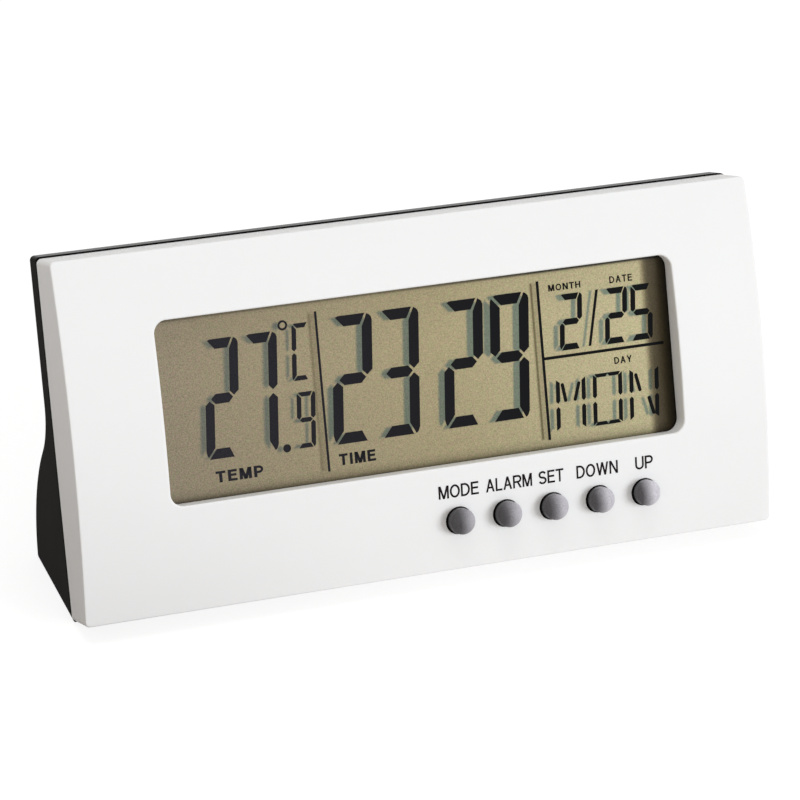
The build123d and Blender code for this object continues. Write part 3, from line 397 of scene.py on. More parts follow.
def film_colour(finish):
    """Olive-beige film with a coloured speckle, with painted shade at its borders and painted light
    that makes it paler to the right.
    """
    x = finish.along(RIGHT)
    height = finish.along(UP_FACE)
    # Painted light: the film is darker to the left and paler to the right, as if lit by the lamp on the
    # right
    to_right = finish.spread(x, 0.0, 1.0, FILM_MIDDLE, FILM_RIGHT - FILM_PALE_END)
    to_left = finish.spread(x, 1.0, 0.0, FILM_LEFT, FILM_MIDDLE)
    base = finish.blend(to_right, FILM_MIDDLE_TINT, FILM_LIT_RIGHT_TINT)
    base = finish.blend(to_left, base, FILM_SHADED_LEFT_TINT)
    base = finish.tint(base, finish.blend(finish.patches(0.42, 1.0), *SPECKLE_HUES))
    base = finish.tint(base, finish.spread(finish.noise(0.24, 1.0), *SPECKLE_LEVELS, 0.25, 0.75))

    # Painted shade: the film darkens towards its borders by these profiles
    from_right = finish.spread(x, FILM_WIDTH, 0.0, FILM_LEFT, FILM_RIGHT)
    from_left = finish.spread(x, 0.0, FILM_WIDTH, FILM_LEFT, FILM_RIGHT)
    from_low = finish.spread(height, 0.0, FILM_TALL, FILM_LOW, FILM_HIGH)
    from_high = finish.spread(height, FILM_TALL, 0.0, FILM_LOW, FILM_HIGH)
    for distance, stops in (
        (from_right, RIGHT_BORDER_SHADE),
        (from_left, LEFT_BORDER),
        (from_low, LOW_BORDER_SHADE),
        (from_high, HIGH_BORDER_SHADE),
    ):
        base = finish.tint(base, finish.profile(distance, stops))
    # Painted shadow line along the upper border, stronger to the right
    high_shadow_reach = finish.spread(x, 0.0, 1.0, HIGH_SHADOW_START, HIGH_SHADOW_FULL)
    high_shadow = finish.blend(high_shadow_reach, PLAIN, finish.profile(from_high, HIGH_SHADOW_LINE))
    # Painted shadow of the window's right wall, which also shifts the film's hue there
    clear = finish.spread(from_right, 0.0, 1.0, FILM_SHADOW_NEAR, FILM_SHADOW_FAR)
    return finish.tint(finish.tint(base, high_shadow), finish.blend(clear, FILM_SHADOW_HUE, PLAIN))


def film_surface(finish):
    """Faint satin sheen of the film."""
    fine = finish.noise(0.16, 1.0)
    finish.roughen(finish.spread(fine, 0.42, 0.52))
    fill(finish.shader, {"Specular IOR Level": 0.12})
    finish.bump(fine, 0.003)


def display_film():
    """The display's visible face."""
    finish = Finish("polarizer_film", FILM_MIDDLE_TINT, 0.45)
    finish.paint(film_colour(finish))
    film_surface(finish)
    return finish.material


# Colours that the film takes in the full shade of a segment and of a line
SEGMENT_SHADE = (0.36, 0.51, 0.66)
LINE_SHADE = (0.30, 0.28, 0.22)


def display_shade():
    """Soft shade that the lit segments and the lines throw on the layer behind the film."""
    finish = Finish("display_shade", FILM_MIDDLE_TINT, 0.45)
    colour = film_colour(finish)
    for name, shade_colour in (("segments", SEGMENT_SHADE), ("lines", LINE_SHADE)):
        amount = finish.node("ShaderNodeAttribute", attribute_name=name).outputs["Fac"]
        colour = finish.tint(colour, finish.blend(amount, PLAIN, shade_colour))
    finish.paint(colour)
    film_surface(finish)
    return finish.material


# Ink of the segments at the left and at the right, paler at the left by a painted reflection, and the
# sides between which it changes
INK_LEFT_WITH_REFLECTION = (0.0220, 0.0210, 0.0260)
INK_RIGHT = (0.0042, 0.0046, 0.0050)
INK_SIDES = (-46.0, 30.0)


def segment_ink():
    """Blue-black of the lit segments, made a little paler to the left by a painted reflection."""
    finish = Finish("display_segments", INK_RIGHT, 0.5, specular=0.03)
    # Painted reflection: the ink grows paler towards the left
    across = finish.spread(finish.along(RIGHT), 0.0, 1.0, *INK_SIDES)
    ink = finish.blend(across, INK_LEFT_WITH_REFLECTION, INK_RIGHT)
    fine = finish.noise(0.25, 2.0)
    finish.paint(finish.tint(ink, finish.spread(fine, 0.75, 1.25)))
    finish.roughen(finish.spread(fine, 0.42, 0.6))
    return finish.material


def label_ink():
    """Thin dark print on the front."""
    finish = Finish("printed_ink", (0.018, 0.013, 0.014), 0.55, specular=0.05)
    fine = finish.noise(0.18, 3.0)
    thin = finish.spread(fine, 0.0, 1.0)
    finish.paint(finish.blend(thin, (0.009, 0.006, 0.007), (0.020, 0.014, 0.016)))
    finish.roughen(finish.spread(fine, 0.5, 0.65))
    finish.bump(fine, 0.003)
    return finish.material


def clear_glass():
    """Thin glass of the display with faint smears."""
    finish = Finish("display_glass", (0.80, 0.84, 0.80), 0.06)
    fill(finish.shader, {"Transmission Weight": 0.85, "IOR": 1.5})
    smears = finish.noise(6.0, 3.0)
    finish.roughen(finish.spread(smears, 0.04, 0.14))
    finish.bump(smears, 0.001)
    return finish.material


def board_green():
    """Solder mask over a faint glass weave."""
    thread = 0.8
    finish = Finish("board_laminate", (0.03, 0.14, 0.06), 0.35)
    weave = finish.node("ShaderNodeTexChecker", {"Scale": 1.0 / (thread * MM)})
    finish.link(finish.place, weave.inputs["Vector"])
    blotches = finish.noise(9.0, 3.0)
    base = finish.blend(finish.spread(blotches, 0.0, 1.0), (0.022, 0.11, 0.045), (0.04, 0.165, 0.075))
    soft = finish.blend(0.12, base, (0.06, 0.20, 0.10))
    finish.paint(finish.blend(weave.outputs["Fac"], base, soft))
    finish.roughen(finish.spread(blotches, 0.3, 0.42))
    finish.bump(finish.noise(0.5, 2.0), 0.01)
    return finish.material


def striped_rubber():
    """Silicone strip with its many conductive stripes."""
    pitch = 0.4
    finish = Finish("strip_rubber", (0.05, 0.05, 0.055), 0.6)
    scale = 1.0 / (pitch * MM) / math.pi
    stripes = finish.node("ShaderNodeTexWave", {"Scale": scale}, bands_direction="X")
    finish.link(finish.place, stripes.inputs["Vector"])
    finish.paint(finish.blend(stripes.outputs["Fac"], (0.015, 0.015, 0.018), (0.32, 0.33, 0.35)))
    fine = finish.noise(0.4, 2.0)
    finish.roughen(finish.spread(fine, 0.5, 0.7))
    finish.bump(fine, 0.01)
    return finish.material


FINISHES = {
    "white_plastic": frame_white,
    "black_plastic": housing_black,
    "grey_plastic": button_grey,
    "foam": lambda: moulded("foam", (0.02, 0.02, 0.02), 0.9, 0.5, 0.06, 0.3),
    "polarizer_film": display_film,
    "display_glass": clear_glass,
    "reflector_film": lambda: metal("reflector_film", (0.60, 0.58, 0.48), 0.4),
    "holder_plastic": lambda: moulded("holder_plastic", (0.70, 0.70, 0.68), 0.5, 0.4, 0.006),
    "strip_rubber": striped_rubber,
    "board_laminate": board_green,
    "switch_plastic": lambda: moulded("switch_plastic", (0.02, 0.02, 0.02), 0.5, 0.3, 0.006, 0.2),
    "plunger_plastic": lambda: moulded("plunger_plastic", (0.025, 0.024, 0.024), 0.45, 0.3, 0.004, 0.2),
    "chip_resin": lambda: moulded("chip_resin", (0.012, 0.012, 0.012), 0.22, 1.2, 0.02, 0.2),
    "bright_metal": lambda: metal("bright_metal", (0.66, 0.65, 0.63), 0.28, (8.0, 1.0, 1.0)),
    "cell_case": lambda: metal("cell_case", (0.58, 0.59, 0.61), 0.35, (8.0, 1.0, 1.0)),
    "buzzer_brass": lambda: metal("buzzer_brass", (0.72, 0.56, 0.28), 0.32),
    "buzzer_white": lambda: moulded("buzzer_white", (0.80, 0.79, 0.75), 0.45, 0.5, 0.006),
    "lead_cover": lambda: moulded("lead_cover", (0.40, 0.03, 0.025), 0.5, 0.6, 0.01, 0.12),
    "capacitor_sleeve": lambda: moulded("capacitor_sleeve", (0.03, 0.04, 0.09), 0.3, 0.5, 0.004, 0.1),
    "sensor_resin": lambda: moulded("sensor_resin", (0.03, 0.03, 0.032), 0.35, 0.5, 0.01, 0.15),
    "screw_steel": lambda: metal("screw_steel", (0.52, 0.52, 0.51), 0.35),
}


def dress_cad_nodes():
    """Gives every solid the finish of its material slot."""
    made = {slot: build() for slot, build in FINISHES.items()}
    for part in frame["record"]["subparts"]:
        solid = frame["nodes"][part["node"]]
        solid.data.materials.clear()
        solid.data.materials.append(made[part["material_slot"]])


# Thin flat pieces


def add_piece(name, mesh, material, body=CASE):
    """Puts a mesh in the scene as a piece that rides on a body."""
    mesh.materials.append(material)
    mesh.update()
    piece = bpy.data.objects.new(name, mesh)
    bpy.context.scene.collection.objects.link(piece)
    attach(piece, body)


class FlatArt:
    """Collects thin closed shapes that lie on the display or on the front face."""

    def __init__(self, depth_at, proud, sunk):
        self.depth_at = depth_at
        self.proud = proud
        self.sunk = sunk
        self.points = []
        self.faces = []

    def _add(self, x, height, lift):
        self.points.append(place(x, height, self.depth_at(height) - lift))
        return len(self.points) - 1

    def outline(self, corners):
        """Prism over a closed outline given anticlockwise, as seen from the front."""
        front = [self._add(x, height, self.proud) for x, height in corners]
        back = [self._add(x, height, -self.sunk) for x, height in corners]
        self.faces.append(front)
        self.faces.append(back[::-1])
        for index in range(len(corners)):
            after = (index + 1) % len(corners)
            self.faces.append([front[index], back[index], back[after], front[after]])

    def strip(self, left, right, closed):
        """Prism between two lines of points."""
        rows = []
        for side in (left, right):
            rows.append([self._add(x, height, self.proud) for x, height in side])
            rows.append([self._add(x, height, -self.sunk) for x, height in side])
        left_front, left_back, right_front, right_back = rows
        count = len(left)
        for index in range(count if closed else count - 1):
            after = (index + 1) % count
            pairs = (
                (left_front, right_front),
                (right_front, right_back),
                (right_back, left_back),
                (left_back, left_front),
            )
            for first, second in pairs:
                self.faces.append([first[index], second[index], second[after], first[after]])
        if not closed:
            self.faces.append([row[0] for row in (left_front, left_back, right_back, right_front)])
            self.faces.append([row[-1] for row in (left_front, right_front, right_back, left_back)])

    def finish(self, name, material, slot, body=CASE):
        mesh = bpy.data.meshes.new(name)
        mesh.from_pydata(self.points, [], self.faces)
        add_piece(name, mesh, material, body)


def turn_area(corners):
    """Twice the signed area, above zero where the corners run anticlockwise."""
    total = 0.0
    for (x, y), (next_x, next_y) in zip(corners, corners[1:] + corners[:1]):
        total += x * next_y - next_x * y
    return total


def anticlockwise(corners):
    return corners if turn_area(corners) > 0 else corners[::-1]


def pen_line(points, width, closed):
    """Left and right edges of a pen stroke of even width along points."""
    left, right = [], []
    count = len(points)
    for index, point in enumerate(points):
        here = Vector(point)
        before = Vector(points[index - 1]) if index or closed else None
        after = Vector(points[(index + 1) % count]) if index < count - 1 or closed else None
        first = (here - before).normalized() if before is not None else (after - here).normalized()
        second = (after - here).normalized() if after is not None else first
        along = (first + second).normalized()
        reach = width / 2 / max(0.4, along.dot(first))
        side = Vector((-along.y, along.x)) * reach
        left.append(tuple(here + side))
        right.append(tuple(here - side))
    return left, right


def arc_points(centre_x, centre_y, radius_x, radius_y, start, end, steps):
    """Points on an ellipse between two angles in degrees."""
    points = []
    for index in range(steps + 1):
        angle = math.radians(start + (end - start) * index / steps)
        points.append((centre_x + radius_x * math.cos(angle), centre_y + radius_y * math.sin(angle)))
    return points


def ring(centre, radius, steps):
    """Points once round a circle."""
    return arc_points(*centre, radius, radius, 0, 360, steps)[:-1]


# Capital letters, one unit tall, drawn with a pen of even width


def upright(x, low, high, pen):
    return [(x - pen / 2, low), (x + pen / 2, low), (x + pen / 2, high), (x - pen / 2, high)]


def level(left, right, y, pen):
    return [(left, y - pen / 2), (right, y - pen / 2), (right, y + pen / 2), (left, y + pen / 2)]


def slanted(x_low, low, x_high, high, pen):
    """Slanting stroke whose ends are cut level."""
    half = pen / 2 * math.hypot(x_high - x_low, high - low) / (high - low)
    return [(x_low - half, low), (x_low + half, low), (x_high + half, high), (x_high - half, high)]


def letter(char, pen):
    """Width of a capital letter, its straight outlines and its curved pen paths."""
    half = pen / 2
    lean = 0.6 * pen
    widths = {
        "A": 0.76, "D": 0.72, "E": 0.62, "H": 0.70, "I": pen, "L": 0.56, "M": 0.82, "N": 0.72,
        "O": 0.80, "P": 0.66, "R": 0.72, "S": 0.68, "T": 0.66, "U": 0.70, "W": 1.06, "Y": 0.74,
    }
    width = widths[char]
    left = half
    right = width - half
    middle = width / 2
    straight = []
    curved = []
    if char in "DEHILMNPR":
        straight.append(upright(left, 0.0, 1.0, pen))
    if char in "HMN":
        straight.append(upright(right, 0.0, 1.0, pen))
    if char == "A":
        straight.append(slanted(lean, 0.0, middle, 1.0, pen))
        straight.append(slanted(width - lean, 0.0, middle, 1.0, pen))
        straight.append(level(0.21 * width, 0.79 * width, 0.34, pen * 0.9))
    elif char == "E":
        for y, reach in ((half, width), (0.53, width - 0.05), (1.0 - half, width - 0.01)):
            straight.append(level(pen, reach, y, pen))
    elif char == "L":
        straight.append(level(pen, width, half, pen))
    elif char == "H":
        straight.append(level(pen, width - pen, 0.53, pen))
    elif char == "T":
        straight.append(level(0.0, width, 1.0 - half, pen))
        straight.append(upright(middle, 0.0, 1.0 - pen, pen))
    elif char == "M":
        straight.append(slanted(middle, 0.0, left + 0.2 * pen, 1.0, pen))
        straight.append(slanted(middle, 0.0, right - 0.2 * pen, 1.0, pen))
    elif char == "N":
        straight.append(slanted(right - 0.1 * pen, 0.0, left + 0.1 * pen, 1.0, pen))
    elif char == "W":
        for low, high in ((0.28, lean / width), (0.28, 0.5), (0.72, 0.5), (0.72, 1 - lean / width)):
            straight.append(slanted(low * width, 0.0, high * width, 1.0, pen))
    elif char == "Y":
        straight.append(slanted(middle, 0.40, lean, 1.0, pen))
        straight.append(slanted(middle, 0.40, width - lean, 1.0, pen))
        straight.append(upright(middle, 0.0, 0.42, pen))
    elif char == "O":
        path = arc_points(middle, 0.5, middle - half, 0.51 - half, 0, 360, 28)
        curved.append((path[:-1], True))
    elif char == "D":
        bend = 0.36
        path = [(pen, 1.0 - half)]
        path += arc_points(right - bend, 0.5, bend, 0.5 - half, 90, -90, 16)
        path.append((pen, half))
        curved.append((path, False))
    elif char in "PR":
        low = 0.44 if char == "P" else 0.47
        tall = (1.0 - half - low) / 2
        path = [(pen, 1.0 - half)]
        path += arc_points(right - tall, low + tall, tall, tall, 90, -90, 12)
        path.append((pen, low))
        curved.append((path, False))
    elif char == "U":
        path = [(left, 1.0)]
        path += arc_points(middle, 0.34, middle - half, 0.34 - half + 0.01, 180, 360, 16)
        path.append((right, 1.0))
        curved.append((path, False))
    elif char == "S":
        tall = (0.5 - half + 0.01) / 2
        path = arc_points(middle, 0.5 + tall, middle - half - 0.02, tall, 22, 262, 16)
        path += arc_points(middle, 0.5 - tall, middle - half, tall, 82, -160, 16)
        curved.append((path, False))
    if char == "R":
        straight.append(slanted(right, 0.0, 0.60 * width, 0.47 - half, pen))
    return width, straight, curved


def write_word(art, word, left, right, low, high, weight, gap):
    """Letters of a word fitted between two sides and two heights."""
    tall = high - low
    pen = weight / tall
    glyphs = [letter(char, pen) for char in word]
    natural = sum(width for width, _, _ in glyphs) + gap * (len(word) - 1)
    stretch = (right - left) / natural
    cursor = left
    for width, straight, curved in glyphs:
        def seat(points):
            return [(cursor + x * stretch, low + y * tall) for x, y in points]

        for corners in straight:
            art.outline(anticlockwise(seat(corners)))
        for path, closed in curved:
            art.strip(*pen_line(seat(path), weight, closed), closed)
        cursor += (width + gap) * stretch


# Segment characters of the display

SEGMENTS_OF = {"2": "abged", "3": "abgcd", "5": "afgcd", "7": "abc", "9": "abcdfg", "C": "afed"}


def segment_outlines(width, height, post, bar):
    """The seven segments of a digit by letter, with the cut corners of this display.

    post is the thickness of the upright segments and bar that of the level ones."""
    mid = height / 2
    far = width - post
    return {
        "a": [
            (0.30 * post, height - 0.10 * bar), (1.13 * post, height - bar),
            (width - 1.20 * post, height - bar), (width - 0.72 * post, height),
            (0.60 * post, height),
        ],
        "b": [
            (far, mid + 0.68 * post), (width - 0.52 * post, mid + 0.20 * post),
            (width, mid + 0.68 * post), (width, height - 0.65 * post),
            (width - 0.10 * post, height - 0.38 * post), (width - 0.26 * post, height - 0.20 * post),
            (width - 0.52 * post, height - 0.06 * post), (far, height - 1.22 * post),
        ],
        "c": [
            (far, 1.12 * post), (width - 0.36 * post, 0.05 * post),
            (width - 0.15 * post, 0.22 * post), (width, 0.65 * post),
            (width, mid - 0.68 * post), (width - 0.52 * post, mid - 0.20 * post),
            (far, mid - 0.68 * post),
        ],
        "d": [
            (0.38 * post, 0.0), (width - 0.60 * post, 0.0),
            (width - 1.13 * post, bar), (1.14 * post, bar),
        ],
        "e": [
            (0.0, 0.85 * post), (0.10 * post, 0.48 * post), (0.25 * post, 0.22 * post),
            (post, 1.20 * post), (post, mid - 0.65 * post), (0.45 * post, mid - 0.18 * post),
            (0.0, mid - 0.62 * post),
        ],
        "f": [
            (0.0, mid + 0.63 * post), (0.50 * post, mid + 0.20 * post), (post, mid + 0.70 * post),
            (post, height - 1.23 * post), (0.12 * post, height - 0.30 * post),
            (0.0, height - 0.55 * post),
        ],
        "g": [
            (0.64 * post, mid), (1.14 * post, mid - bar / 2), (width - 1.11 * post, mid - bar / 2),
            (width - 0.64 * post, mid), (width - 1.11 * post, mid + bar / 2),
            (1.14 * post, mid + bar / 2),
        ],
    }


def leaned(corners, left, low, slope):
    """Outline set down at its place, leaning to the right as it rises."""
    return [(left + x + slope * y, low + y) for x, y in corners]


DIGIT_SLOPE = 0.075
DAY_SLOPE = 0.060


def day_post(side, upper, width, height, post):
    """Half of an upright of a day letter: pointed at the middle and cut at the outer end."""
    mid = height / 2
    tip_gap = 0.31
    shoulder = 0.78
    cut = 0.62
    outer = 0.0 if side < 0 else width
    inner = post if side < 0 else width - post
    centre = (outer + inner) / 2
    sign = 1.0 if upper else -1.0
    end = height - 0.12 if upper else 0.12
    corners = [
        (outer, mid + sign * shoulder),
        (centre, mid + sign * tip_gap),
        (inner, mid + sign * shoulder),
        (inner, end - sign * cut),
        (outer + 0.06 * (1 if side < 0 else -1), end),
    ]
    return anticlockwise(corners)


def day_bar(upper, half, width, height):
    """Half of the top or bottom bar of the letter O, notched towards the middle."""
    start = 0.42
    notch = 0.42
    depth = 0.72
    sign = -1.0 if upper else 1.0
    outer = height if upper else 0.0
    inner = outer + sign * depth
    centre = width / 2
    reach = outer + sign * 0.16
    corners = [(start, outer), (centre, outer), (centre, reach)]
    corners += [(centre - notch, inner), (start + 0.48, inner)]
    if half > 0:
        corners = [(width - x, y) for x, y in corners]
    return anticlockwise(corners)


def day_slant(start, end, thick):
    """Slanting stroke inside M or N with rounded ends."""
    first, last = Vector(start), Vector(end)
    along = (last - first).normalized()
    heading = math.degrees(math.atan2(along.y, along.x))
    radius = thick / 2
    points = arc_points(last.x, last.y, radius, radius, heading - 90, heading + 90, 6)
    points += arc_points(first.x, first.y, radius, radius, heading + 90, heading + 270, 6)
    return anticlockwise(points)


def day_outlines():
    """The day's three letters, M, O and N."""
    width, height, post = 6.46, 10.3, 0.88
    low, first, pitch = 24.05, 27.93, 8.0
    slant = 0.72
    shapes = {}
    posts = [day_post(side, upper, width, height, post) for side in (-1, 1) for upper in (True, False)]
    shapes["M"] = posts + [
        day_slant((1.42, 9.10), (2.07, 5.98), slant),
        day_slant((4.98, 9.02), (4.14, 5.94), slant),
    ]
    shapes["O"] = posts + [
        day_bar(upper, half, width, height) for upper in (True, False) for half in (-1, 1)
    ]
    shapes["N"] = posts + [
        day_slant((1.44, 9.00), (2.28, 5.98), slant),
        day_slant((4.26, 4.12), (5.22, 1.04), slant),
    ]
    outlines = []
    for index, char in enumerate("MON"):
        outlines += [leaned(s, first + pitch * index, low, DAY_SLOPE) for s in shapes[char]]
    return outlines


# Groups of digits: characters, their left sides, low edge, width, height, post and bar
DIGIT_GROUPS = (
    ("27", (-45.0, -37.05), 28.4, 6.76, 23.05, 1.80, 1.93),
    ("C", (-26.27,), 41.27, 3.75, 11.05, 0.92, 0.90),
    ("9", (-26.47,), 28.10, 3.82, 10.85, 0.92, 0.88),
    ("2329", (-18.98, -9.22, 4.33, 14.15), 27.75, 8.27, 24.88, 2.10, 2.12),
    ("225", (30.02, 39.83, 45.42), 39.93, 4.83, 11.12, 1.04, 1.22),
)
DATE_SLASH = [(36.23, 40.12), (36.80, 40.12), (39.18, 51.10), (38.60, 51.10)]


def display_outlines():
    """Every solid segment on the display."""
    outlines = []
    for chars, lefts, low, *size in DIGIT_GROUPS:
        shapes = segment_outlines(*size)
        for char, left in zip(chars, lefts):
            outlines += [leaned(shapes[name], left, low, DIGIT_SLOPE) for name in SEGMENTS_OF[char]]
    return outlines + [DATE_SLASH] + day_outlines()


# Lines between the groups, the decimal point and the degree ring
DIVIDERS = (
    [(-20.65, 22.8), (-20.17, 22.8), (-20.17, 54.15), (-20.65, 54.15)],
    [(25.98, 22.6), (26.55, 22.6), (26.55, 54.25), (25.98, 54.25)],
    [(25.98, 38.50), (52.5, 38.50), (52.5, 39.08), (25.98, 39.08)],
)
POINT_PLACE = (-28.6, 28.5)
POINT_RADIUS = 0.80
DEGREE_PLACE = (-27.3, 52.3)
DEGREE_OUTER = 0.99
DEGREE_INNER = 0.58

# Shade on the layer behind the film, made as one sheet of small cells. It lies to the left of
# what throws it and starts a little outside. Its soft edge and its strength change from left to
# right: sides, then the values there.
SHADE_CELL = 0.22
SHADE_SHIFT = -1.40
SHADE_START = 0.20
SHADE_EDGE = ((-30.0, 15.714), (0.90, 0.42))
SHADE_STRENGTH = ((-45.0, -19.0), (0.84, 0.97))
SHADE_PROUD = 0.008
SHADE_SUNK = 0.002

# Shade of the upright lines: half widths of its core and of its haze, their levels for the left
# and the right line, their soft edge and the soft ends
LINE_CORE_HALF = 0.44
LINE_CORE_LEVELS = (0.55, 0.95)
LINE_HAZE_HALF = 0.62
LINE_HAZE_LEVEL = 0.32
LINE_EDGE = 0.30
LINE_END = 0.4


def inside_depth(x, height, corners):
    """How far points lie inside a convex anticlockwise outline, below zero outside it."""
    depth = None
    for (x0, y0), (x1, y1) in zip(corners, corners[1:] + corners[:1]):
        run, rise = x1 - x0, y1 - y0
        side = (run * (height - y0) - rise * (x - x0)) / math.hypot(run, rise)
        depth = side if depth is None else np.minimum(depth, side)
    return depth


def smooth_step(value):
    value = np.clip(value, 0.0, 1.0)
    return value * value * (3.0 - 2.0 * value)


def shade_levels(x, height):
    """Shade of the segments and of the lines at each point; it is softer to the left."""
    edge = np.interp(x, *SHADE_EDGE)
    strength = np.interp(x, *SHADE_STRENGTH)
    shapes = [anticlockwise(corners) for corners in display_outlines()]
    shapes += [ring(POINT_PLACE, POINT_RADIUS, 16), ring(DEGREE_PLACE, DEGREE_OUTER, 16)]
    segments = np.zeros_like(x)
    for corners in shapes:
        depth = inside_depth(x - SHADE_SHIFT, height, corners)
        rim = np.minimum(edge, 1.1 * depth.max() + SHADE_START)
        segments = np.maximum(segments, strength * smooth_step((depth + SHADE_START) / rim))
    lines = np.zeros_like(x)
    for corners, core_level in zip(DIVIDERS, LINE_CORE_LEVELS):
        middle = (corners[0][0] + corners[1][0]) / 2
        low, high = corners[0][1], corners[2][1]
        ends = smooth_step((height - low) / LINE_END) * smooth_step((high - height) / LINE_END)
        core = smooth_step((LINE_CORE_HALF - abs(x - middle - SHADE_SHIFT)) / LINE_EDGE)
        haze = smooth_step((LINE_HAZE_HALF - abs(x - middle - SHADE_SHIFT / 2)) / LINE_EDGE)
        lines = np.maximum(lines, ends * np.maximum(core_level * core, LINE_HAZE_LEVEL * haze))
    return segments, lines


def build_shade(material):
    """Thin closed sheet just over the film, kept only where there is shade."""
    columns = int(FILM_WIDTH / SHADE_CELL)
    rows = int(FILM_TALL / SHADE_CELL)
    x, height = np.meshgrid(
        FILM_LEFT + SHADE_CELL * np.arange(columns + 1), FILM_LOW + SHADE_CELL * np.arange(rows + 1)
    )
    segments, lines = shade_levels(x, height)
    shaded = np.maximum(segments, lines) > 0.0
    cells = shaded[:-1, :-1] | shaded[1:, :-1] | shaded[:-1, 1:] | shaded[1:, 1:]
    for _ in range(3):
        # Cells that touch only at a corner get a neighbour, so that the sheet stays one clean solid
        rising = cells[:-1, :-1] & cells[1:, 1:] & ~cells[1:, :-1] & ~cells[:-1, 1:]
        falling = cells[1:, :-1] & cells[:-1, 1:] & ~cells[:-1, :-1] & ~cells[1:, 1:]
        cells[1:, :-1] |= rising
        cells[:-1, :-1] |= falling
    points, faces, levels = [], [], []
    numbers = {}

    def corner(row, column, front):
        key = (row, column, front)
        if key not in numbers:
            numbers[key] = len(points)
            lift = SHADE_PROUD if front else -SHADE_SUNK
            points.append(place(float(x[row, column]), float(height[row, column]), FILM_FRONT - lift))
            levels.append((segments[row, column], lines[row, column]))
        return numbers[key]

    filled = np.pad(cells, 1)
    for row, column in np.argwhere(cells):
        around = [(row, column), (row, column + 1), (row + 1, column + 1), (row + 1, column)]
        faces.append([corner(*at, True) for at in around])
        faces.append([corner(*at, False) for at in around[::-1]])
        beside = ((0, 1), (1, 2), (2, 1), (1, 0))
        for side, (down, across) in enumerate(beside):
            if not filled[row + down, column + across]:
                first, last = around[side], around[(side + 1) % 4]
                wall = ((first, True), (first, False), (last, False), (last, True))
                faces.append([corner(*at, front) for at, front in wall])
    mesh = bpy.data.meshes.new("display_shade")
    mesh.from_pydata(points, [], faces)
    for index, name in enumerate(("segments", "lines")):
        layer = mesh.attributes.new(name, "FLOAT", "POINT")
        layer.data.foreach_set("value", [float(level[index]) for level in levels])
    add_piece("display_shade", mesh, material)


# How far the print stands out of the film or the front and how far it sinks in
SEGMENT_PROUD = 0.030
WORD_PROUD = 0.024
PRINT_SUNK = 0.002
NAME_PROUD = 0.020
NAME_SUNK = 0.050

# Words on the display: text, left, right, low, high, stroke
DISPLAY_WORDS = (
    ("TEMP", -43.5, -33.75, 23.80, 26.00, 0.46),
    ("TIME", -18.2, -10.60, 23.65, 25.88, 0.46),
    ("MONTH", 28.55, 35.50, 51.95, 53.25, 0.25),
    ("DATE", 41.80, 46.75, 51.95, 53.35, 0.25),
    ("DAY", 41.50, 45.35, 35.80, 37.18, 0.25),
)

# Names over the buttons: text, left, right
BUTTON_WORDS = (
    ("MODE", 0.50, 9.00),
    ("ALARM", 10.50, 20.40),
    ("SET", 21.80, 27.20),
    ("DOWN", 30.00, 39.00),
    ("UP", 42.80, 46.70),
)
WORD_LOW = 14.62
WORD_HIGH = 17.22
WORD_STROKE = 0.385

# Spaces between letters, for letters one unit tall
DISPLAY_GAP = 0.16
NAME_GAP = 0.085


def build_display():
    """Segments, words and dividers on the film, over their soft shade."""
    def film_plane(_height):
        return FILM_FRONT

    ink = segment_ink()
    build_shade(display_shade())

    segments = FlatArt(film_plane, SEGMENT_PROUD, PRINT_SUNK)
    for corners in display_outlines() + list(DIVIDERS):
        segments.outline(anticlockwise(corners))
    segments.outline(ring(POINT_PLACE, POINT_RADIUS, 28))
    segments.strip(ring(DEGREE_PLACE, DEGREE_INNER, 32), ring(DEGREE_PLACE, DEGREE_OUTER, 32), True)
    segments.finish("display_segments", ink, "switch_plastic")

    words = FlatArt(film_plane, WORD_PROUD, PRINT_SUNK)
    for word, left, right, low, high, stroke in DISPLAY_WORDS:
        write_word(words, word, left, right, low, high, stroke, DISPLAY_GAP)
    words.finish("display_words", ink, "switch_plastic")


def build_button_words():
    """Names printed on the arched front over each button."""
    words = FlatArt(face_depth, NAME_PROUD, NAME_SUNK)
    for word, left, right in BUTTON_WORDS:
        write_word(words, word, left, right, WORD_LOW, WORD_HIGH, WORD_STROKE, NAME_GAP)
    words.finish("button_words", label_ink(), "switch_plastic")


# Studio

# Floor, in metres: its half side, the colour of its painted shadow near the clock on its left and its
# colour around it, how far from the painted shadow's centre it changes, and the shade and glow of what
# is seen of it
FLOOR_HALF = 2.5
FLOOR_SHADOW_COLOUR = (0.20, 0.17, 0.145)
FLOOR_COLOUR = (0.74, 0.715, 0.69)
FLOOR_SHADOW_PLACE = (-0.125, -0.005, 0.0)
FLOOR_SHADOW_NEAR = 0.055
FLOOR_SHADOW_FAR = 0.130
SEEN_SHADE = (0.30, 0.30, 0.30, 1.0)
SEEN_GLOW = 0.80
WHITE_LIGHT = (1.0, 1.0, 1.0, 1.0)


def seen_mask(tree):
    """One for rays that show the background: camera, mirror-like and see-through rays."""
    path = tree.nodes.new("ShaderNodeLightPath")
    mask = path.outputs["Is Camera Ray"]
    for ray in ("Is Glossy Ray", "Is Transmission Ray"):
        either = tree.nodes.new("ShaderNodeMath")
        either.operation = "MAXIMUM"
        tree.links.new(mask, either.inputs[0])
        tree.links.new(path.outputs[ray], either.inputs[1])
        mask = either.outputs["Value"]
    return mask


def show_seen(tree, lit, seen, output):
    """Uses one shader for the light on the clock and another where the background is seen."""
    choose = tree.nodes.new("ShaderNodeMixShader")
    tree.links.new(seen_mask(tree), choose.inputs[0])
    tree.links.new(lit.outputs[0], choose.inputs[1])
    tree.links.new(seen.outputs[0], choose.inputs[2])
    tree.links.new(choose.outputs[0], output.inputs["Surface"])


